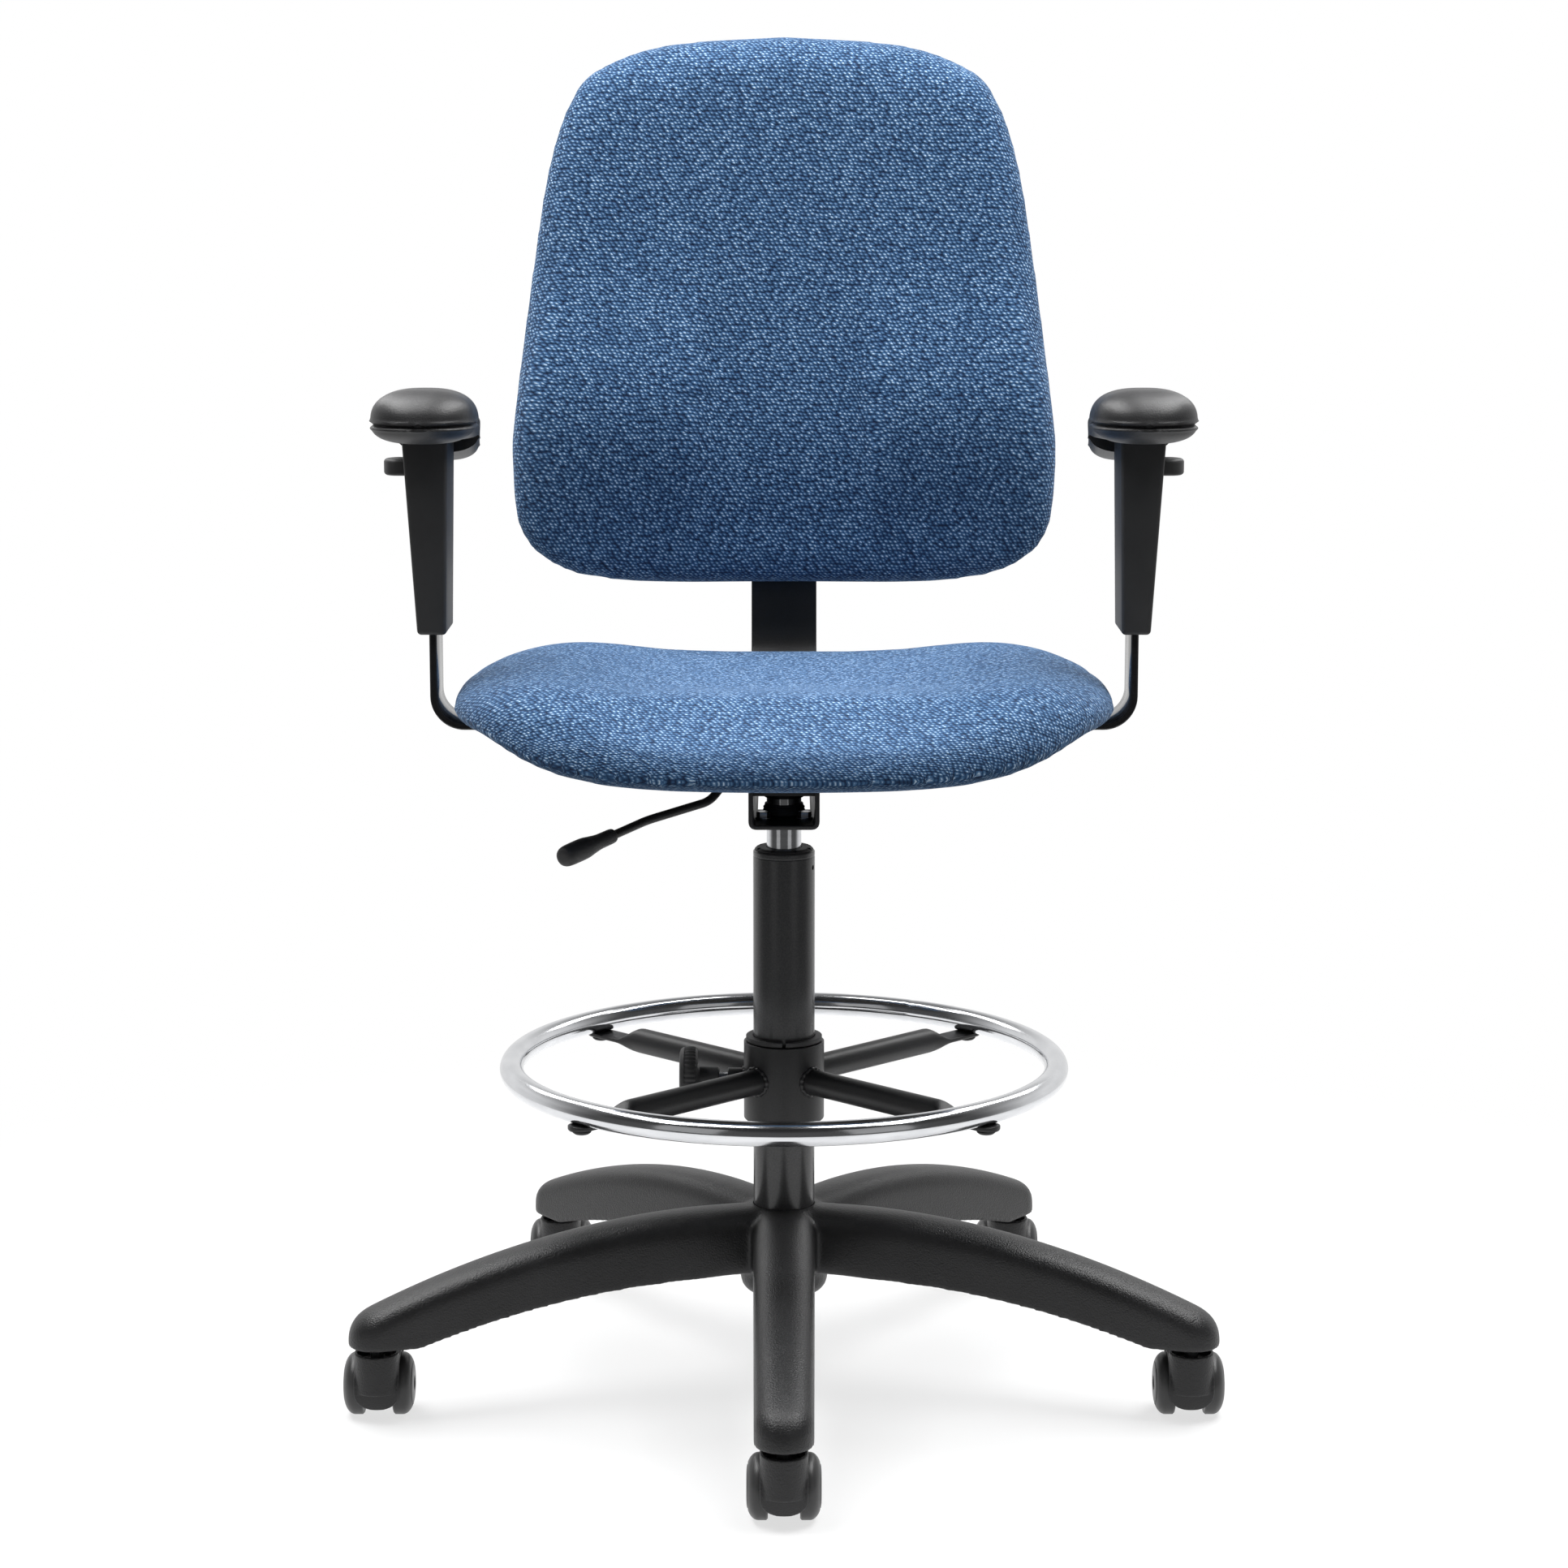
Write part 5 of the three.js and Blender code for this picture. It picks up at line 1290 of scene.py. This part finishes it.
def lay_weave(piece, crown):
    """Writes where each point lies on the cloth: its plane, and down the sides by their drop."""
    mesh = piece.data
    count = len(mesh.vertices)
    places, normals = np.zeros(count * 3), np.zeros(count * 3)
    mesh.vertices.foreach_get("co", places)
    mesh.vertices.foreach_get("normal", normals)
    places, normals = places.reshape(-1, 3), normals.reshape(-1, 3)
    drop = (crown - places[:, 2:3]) * np.linalg.norm(normals[:, :2], axis=1, keepdims=True)
    flat = np.zeros((count, 3))
    flat[:, :2] = places[:, :2] + normals[:, :2] * drop
    attribute = mesh.attributes.new("weave", "FLOAT_VECTOR", "POINT")
    attribute.data.foreach_set("vector", flat.astype(np.float32).ravel())


# ---- Seat, drawn about its middle at the height of the pan's underside

SEAT_LOW, SEAT_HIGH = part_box("seat_cushion")
SEAT_HALF = Vector((0.265, 0.2325))
SEAT_MIDDLE_Y = (SEAT_LOW.y + SEAT_HIGH.y) / 2
PAN_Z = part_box("seat_pan")[0].z


def seat_waterfall(y):
    return SEAT_WATERFALL * smooth_step((SEAT_WATERFALL_LENGTH - y - SEAT_HALF.y) / SEAT_WATERFALL_LENGTH)


def seat_top(x, y):
    bolster = SEAT_BOLSTER * bump(np.abs(x) - SEAT_HALF.x + SEAT_BOLSTER_INSET, SEAT_BOLSTER_SPREAD)
    ridge = SEAT_RIDGE * bump(y + SEAT_HALF.y - SEAT_RIDGE_INSET, SEAT_RIDGE_SPREAD)
    rise = (bolster**4 + ridge**4) ** 0.25
    return SEAT_TOP_HEIGHT + rise - seat_waterfall(y) * SEAT_WATERFALL_TOP


def build_seat():
    outline = evenly(superellipse(*SEAT_HALF, SEAT_SQUARENESS, 720), 144)
    pan_half = SEAT_HALF - Vector((PAN_INSET, PAN_INSET))

    def bottom(x, y):
        inside = (np.abs(x) / pan_half.x) ** SEAT_SQUARENESS + (np.abs(y) / pan_half.y) ** SEAT_SQUARENESS
        return SEAT_LIP_DROP * smooth_step((SEAT_LIP_REACH - inside) / 0.1) - seat_waterfall(y)

    def edge(x, y):
        return SEAT_EDGE_HEIGHT - seat_waterfall(y)

    cushion = cushion_mesh("seat_upholstery", outline, bottom, edge, seat_top)
    plumped(cushion, SEAT_STAPLED)
    softened(cushion)
    lay_weave(cushion, SEAT_TOP_HEIGHT)
    cushion.data.transform(Matrix.Translation((0, SEAT_MIDDLE_Y, PAN_Z)))
    dress(cushion, "seat", TWEED, "seat_cushion")
    low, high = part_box("seat_pan")
    plate_outline = superellipse(pan_half.x, pan_half.y, SEAT_SQUARENESS, 160) + [0, SEAT_MIDDLE_Y]
    plate = prism("seat_board", plate_outline.tolist(), low.z, high.z - BOARD_HIDDEN, "Z", 0.0015)
    dress(plate, "seat", PLYWOOD, "seat_pan")


# ---- Back, drawn flat about its middle and laid on its reclined plane

BACK_PLACE = (
    Matrix.Translation((0, BACK_FOOT_Y, PAN_Z + BACK_ABOVE_PAN))
    @ Matrix.Rotation(-BACK_RECLINE, 4, "X")
    @ Matrix.Translation((0, 0, BACK_HEIGHT / 2))
    @ Matrix.Rotation(math.pi / 2, 4, "X")
)


def back_outline(inset, count):
    half, tall = BACK_WIDTH / 2 - inset, BACK_HEIGHT / 2 + BACK_SPARE - inset
    right = spline([(x * half, (2 * y - 1) * tall) for x, y in BACK_OUTLINE], count // 2 + 1)
    left = right[-2:0:-1] * [-1, 1]
    return np.vstack([right, left])


def wing(x):
    return smooth_step((np.abs(x) - BACK_WING_START) / BACK_WING_RUN)


def back_front(x, y):
    """The cushion's face: lumbar bolsters beside a plain spine, and tucked in below them."""
    height = y + BACK_HEIGHT / 2
    spine = smooth_step((SPINE_HALF_WIDTH + SPINE_EDGE / 2 - np.abs(x)) / SPINE_EDGE)
    lumbar = BACK_LUMBAR * bump(height - BACK_LUMBAR_HEIGHT, BACK_LUMBAR_SPREAD) * (1 - SPINE_SHARE * spine)
    tuck = BACK_TUCK * bump(height - BACK_TUCK_HEIGHT, BACK_TUCK_SPREAD)
    return BACK_MIDDLE + BACK_WING * wing(x) + lumbar - tuck


def build_back():
    def rear(x, y):
        return TOUCH / 2 + BACK_WING_REAR * wing(x)

    def edge(x, y):
        return BACK_EDGE + BACK_WING * wing(x) * bump(y, BACK_HEIGHT)

    cushion = cushion_mesh("back_upholstery", back_outline(0, 144), rear, edge, back_front)
    plumped(cushion, BACK_STAPLED)
    softened(cushion)
    lay_weave(cushion, BACK_MIDDLE)
    cushion.data.transform(BACK_PLACE)
    dress(cushion, "back", TWEED, "back_cushion")
    build_back_shell()
    build_upright()


def build_back_shell():
    """The moulded cover behind the cushion, with a raised spine over the slot for the upright."""
    def front(x, y):
        return np.full_like(x, -TOUCH / 2)

    def edge(x, y):
        return np.full_like(x, -SHELL_RIM)

    def rear(x, y):
        beside_spine = smooth_step((np.abs(x) - SHELL_SPINE_HALF_WIDTH) / SHELL_SPINE_EDGE)
        return -SHELL_DEPTH - SHELL_FLARE * y / BACK_HEIGHT + SHELL_SPINE_HEIGHT * beside_spine

    shell = cushion_mesh("back_cover", back_outline(SHELL_INSET + BACK_SPARE, 144), rear, edge, front)
    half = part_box("back_upright")[1].x + FIT
    low = -BACK_HEIGHT / 2
    slot = block("slot", (-half, low - CUT, -UPRIGHT_RECESS - UPRIGHT_THICKNESS - FIT),
                 (half, low + UPRIGHT_OVERLAP + 2 * FIT, FIT - UPRIGHT_RECESS), 0)
    carve(shell, slot)
    shell.data.transform(BACK_PLACE)
    dress(shell, "back", MOULDED, "back_shell")


def build_upright():
    lean = Vector((math.sin(BACK_RECLINE), math.cos(BACK_RECLINE)))
    depth = UPRIGHT_RECESS + UPRIGHT_THICKNESS / 2
    foot = Vector((BACK_FOOT_Y, PAN_Z + BACK_ABOVE_PAN))
    foot += Vector((depth * math.cos(BACK_RECLINE), -depth * math.sin(BACK_RECLINE)))
    low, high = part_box("back_upright")
    level = low.z + UPRIGHT_THICKNESS / 2
    corner = foot - lean * ((foot.y - level) / lean.y)
    outline = bent_strip((low.y, level), corner, foot + lean * UPRIGHT_OVERLAP, UPRIGHT_BEND,
                         UPRIGHT_THICKNESS)
    strip = prism("upright", [tuple(p) for p in outline], low.x, high.x, "X", 0.0018)
    dress(strip, "seat", POWDER, "back_upright")


# ---- Arms


def build_arm(side, sign):
    bar_low, bar_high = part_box(f"arm_bar_{side}")
    outer = bar_high.x if sign > 0 else -bar_low.x
    inner_end = bar_low.x if sign > 0 else -bar_high.x
    bar_x = outer - ARM_BAR_THICKNESS / 2
    level = bar_low.z + ARM_BAR_THICKNESS / 2
    outline = bent_strip((inner_end, level), (bar_x, level), (bar_x, bar_high.z), ARM_BAR_BEND,
                         ARM_BAR_THICKNESS)
    bar = prism(f"arm_strip_{side}", [(sign * x, z) for x, z in outline], bar_low.y, bar_high.y, "Y", 0.0012)
    dress(bar, "seat", ENAMEL, f"arm_bar_{side}")
    build_sleeve(side, sign, bar_x - ARM_BAR_THICKNESS / 2, outer)
    build_button(side, sign)
    build_pad(side, sign, bar_x)


def build_sleeve(side, sign, bar_inner, bar_outer):
    low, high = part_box(f"arm_sleeve_{side}")
    outline = [(bar_inner - SLEEVE_BOTTOM_INNER, low.z), (bar_outer + SLEEVE_BOTTOM_OUTER, low.z),
               (bar_outer + SLEEVE_TOP_OUTER, high.z), (bar_inner - SLEEVE_TOP_INNER, high.z)]
    sleeve = prism(f"arm_cover_{side}", [(sign * x, z) for x, z in outline], low.y, high.y, "Y",
                   SLEEVE_ROUNDING, 5)
    bar_low, bar_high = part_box(f"arm_bar_{side}")
    near, far = sorted((sign * (bar_inner - FIT), sign * (bar_outer + FIT)))
    slot = block("slot", (near, bar_low.y - FIT, low.z - CUT),
                 (far, bar_high.y + FIT, high.z - SLEEVE_ROOF), 0)
    button_low, button_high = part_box(f"arm_button_{side}")
    gap = Vector((0.001, 0.001, 0.001))
    pocket = block("pocket", button_low - gap, button_high + gap + Vector((0, 0, BUTTON_TRAVEL_GAP)), 0)
    dress(carve(sleeve, slot, pocket), f"arm_{side}", MOULDED, f"arm_sleeve_{side}")


def build_button(side, sign):
    """The height button: a flat tab with a rounded end."""
    low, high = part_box(f"arm_button_{side}")
    near, far = (low.x, high.x) if sign > 0 else (high.x, low.x)
    half = (high.y - low.y) / 2
    mid_y = (low.y + high.y) / 2
    reach = half * 0.75
    outline = [(near, low.y), (far - sign * reach, low.y)]
    for i in range(1, 16):
        angle = math.pi * i / 16
        outline.append((far - sign * reach * (1 - math.sin(angle)), mid_y - half * math.cos(angle)))
    outline += [(far - sign * reach, high.y), (near, high.y)]
    tab = prism(f"arm_tab_{side}", outline, low.z, high.z, "Z", BUTTON_ROUNDING, 5)
    dress(tab, f"arm_button_{side}", MOULDED, f"arm_button_{side}")


def pad_hang(share):
    """How far down the pad's tail has turned at a share of its length, from 0 to 1."""
    return float(smooth_step((share - PAD_TURN_START) / (1 - PAD_TURN_START)))


def pad_belt(share, bottom):
    """The level at which the pad is widest, where its seam runs."""
    return bottom + PAD_HEIGHT * PAD_BELT - PAD_DROOP * pad_hang(share)


def pad_end(share):
    """How full the pad's section is: 1 along its length, less as its nose and tail round off."""
    nose = math.sqrt(1 - (1 - min(1.0, share / PAD_END_SHARE)) ** 2)
    tail = math.sqrt(1 - max(0.0, 1 - (1 - share) / PAD_END_SHARE) ** 2)
    return min(nose, tail)


def pad_section(share, bar_x, sign, low, high, bottom):
    """The pad's section at a share of its length."""
    end = pad_end(share)
    half = PAD_WIDTH / 2 * (1 - PAD_TAIL_NARROWING * pad_hang(share))
    half *= PAD_END_WIDTH + (1 - PAD_END_WIDTH) * end
    tall = PAD_HEIGHT * (PAD_END_HEIGHT + (1 - PAD_END_HEIGHT) * end)
    belt = pad_belt(share, bottom)
    place_y = low.y + (high.y - low.y) * share
    points = []
    for across, up in superellipse(half, tall, PAD_SQUARENESS, 176):
        part = 1 - PAD_BELT if up > 0 else PAD_BELT
        points.append(Vector((sign * (bar_x + across), place_y, belt + up * part)))
    return points


def welted(pad, low, high, bottom):
    """Presses a seam with a welt on each side into the pad, at its widest level."""
    shifts = []
    for vertex in pad.data.vertices:
        share = min(1.0, max(0.0, (vertex.co.y - low.y) / (high.y - low.y)))
        off_seam = (vertex.co.z - pad_belt(share, bottom)) - WELT_LEVEL
        welts = bump(off_seam + WELT_APART, WELT_WIDTH) + bump(off_seam - WELT_APART, WELT_WIDTH)
        depth = WELT_HEIGHT * welts - SEAM_DEPTH * bump(off_seam, WELT_WIDTH)
        shifts.append(vertex.co + vertex.normal * depth)
    for vertex, place in zip(pad.data.vertices, shifts):
        vertex.co = place
    return pad


def build_pad(side, sign, bar_x):
    low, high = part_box(f"arm_pad_{side}")
    sleeve_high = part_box(f"arm_sleeve_{side}")[1]
    bottom = sleeve_high.z + TOUCH
    shares = (1 - np.cos(np.linspace(0, np.pi, 72))) / 2
    rings = [pad_section(float(share), bar_x, sign, low, high, bottom) for share in shares]
    pad = welted(loft(f"arm_rest_{side}", rings, 70), low, high, bottom)
    flat = block("flat", (-1, low.y - 0.01, bottom - 0.05), (1, sleeve_high.y + 0.004, bottom), 0)
    carve(pad, flat)
    dress(pad, f"arm_{side}", SKIN, f"arm_pad_{side}")


# ---- Stage: camera, floor, backdrop and lights


CAMERA_LENS = 85.7
CAMERA_PLACE = (0, -2.970, 0.999)
CAMERA_TILT = math.radians(9.56)  # down from level
FLOOR_THICKNESS = 0.01
DOME_RADIUS = 10
DOME_DROP = 0.011  # under the floor's top
LIGHT_TARGET = (0, 0, 0.6)


def build_camera():
    data = bpy.data.cameras.new("camera")
    data.lens = CAMERA_LENS
    camera = bpy.data.objects.new("camera", data)
    camera.location = CAMERA_PLACE
    camera.rotation_euler = (math.pi / 2 - CAMERA_TILT, 0, 0)
    bpy.context.scene.collection.objects.link(camera)
    bpy.context.scene.camera = camera


def stage_material(name):
    """White light, for what only the camera sees."""
    material = bpy.data.materials.new(name)
    material.use_nodes = True
    tree = material.node_tree
    tree.nodes.remove(tree.nodes["Principled BSDF"])
    glow = add(tree, "Emission", Color=(1, 1, 1, 1), Strength=1.0)
    tree.links.new(glow.outputs[0], tree.nodes["Material Output"].inputs["Surface"])
    return material, tree, glow


def paper_material():
    """Paper that takes soft shadows near the chair, and turns into light further out."""
    material, tree, glow = stage_material("paper")
    place = object_place(tree)
    mottle = tint(tree, noise(tree, place, 0.4), (0.3, (0.90, 0.90, 0.905)), (0.7, (0.93, 0.93, 0.93)))
    paper = add(tree, "BsdfDiffuse", Color=mottle)
    reach = add(tree, "VectorMath", {"operation": "LENGTH"})
    tree.links.new(place, reach.inputs[0])
    fade = add(tree, "MapRange", {"interpolation_type": "SMOOTHSTEP"}, Value=reach.outputs["Value"],
               From_Min=0.35, From_Max=FLOOR_RADIUS, To_Min=FLOOR_GLOW, To_Max=1.0)
    mix = add(tree, "MixShader", Fac=fade.outputs["Result"])
    tree.links.new(paper.outputs[0], mix.inputs[1])
    tree.links.new(glow.outputs[0], mix.inputs[2])
    tree.links.new(mix.outputs[0], tree.nodes["Material Output"].inputs["Surface"])
    return material


def build_ground():
    sheet = [(0, -FLOOR_THICKNESS), (FLOOR_RADIUS, -FLOOR_THICKNESS), (FLOOR_RADIUS, 0), (0, 0)]
    floor = lathe("floor", off_axis(sheet), sides=96)
    floor.data.materials.append(paper_material())
    profile = [(0, -DOME_DROP)]
    profile += [(DOME_RADIUS * math.cos(angle), DOME_RADIUS * math.sin(angle) - DOME_DROP)
                for angle in np.linspace(0, math.pi / 2, 24)]
    dome = lathe("backdrop", off_axis(profile), sides=96)
    dome.data.materials.append(stage_material("sky")[0])
    for ray in ("visible_diffuse", "visible_glossy", "visible_shadow", "visible_transmission"):
        setattr(dome, ray, False)


def build_world():
    """The studio: a pale wall behind the chair, and dim in front of it and overhead."""
    world = bpy.data.worlds.new("studio")
    world.use_nodes = True
    tree = world.node_tree
    direction = add(tree, "SeparateXYZ", Vector=add(tree, "TexCoord").outputs["Generated"])
    behind = add(tree, "MapRange", {"interpolation_type": "SMOOTHSTEP"}, Value=direction.outputs["Y"],
                 From_Min=-0.2, From_Max=0.6, To_Min=FRONT_GLOW, To_Max=WALL_GLOW)
    upward = add(tree, "MapRange", {"interpolation_type": "SMOOTHSTEP"}, Value=direction.outputs["Z"],
                 From_Min=0.25, From_Max=0.75, To_Min=1.0, To_Max=0.3)
    strength = maths(tree, "MULTIPLY", behind.outputs["Result"], upward.outputs["Result"])
    tree.links.new(strength, tree.nodes["Background"].inputs["Strength"])
    tree.nodes["Background"].inputs["Color"].default_value = (1, 1, 1, 1)
    bpy.context.scene.world = world


def build_light(name, place, size, power):
    data = bpy.data.lights.new(name, "AREA")
    data.shape = "RECTANGLE"
    data.size, data.size_y = size
    data.energy = power
    light = bpy.data.objects.new(name, data)
    light.location = place
    light.rotation_euler = (Vector(LIGHT_TARGET) - Vector(place)).to_track_quat("-Z", "Y").to_euler()
    light.visible_camera = False
    bpy.context.scene.collection.objects.link(light)


def build_lights():
    """Two wide lamps overhead for the key, two faint tall panels in front, and two lamps behind."""
    for side in (-1, 1):
        build_light("key", (side * 1.0, 0.0, 2.6), (2.0, 1.3), 80)
        build_light("panel", (side * 1.75, -2.3, 1.1), (1.3, 2.3), 3)
        build_light("rear", (side * 1.6, 2.0, 2.4), (0.9, 1.2), 16)


build_camera()
finish_cad_nodes()
build_base()
build_casters()
build_column()
build_foot_rest()
build_mechanism()
build_lever()
build_seat()
build_back()
build_arm("right", 1)
build_arm("left", -1)
build_ground()
build_world()
build_lights()
bpy.context.scene.view_settings.view_transform = "Standard"
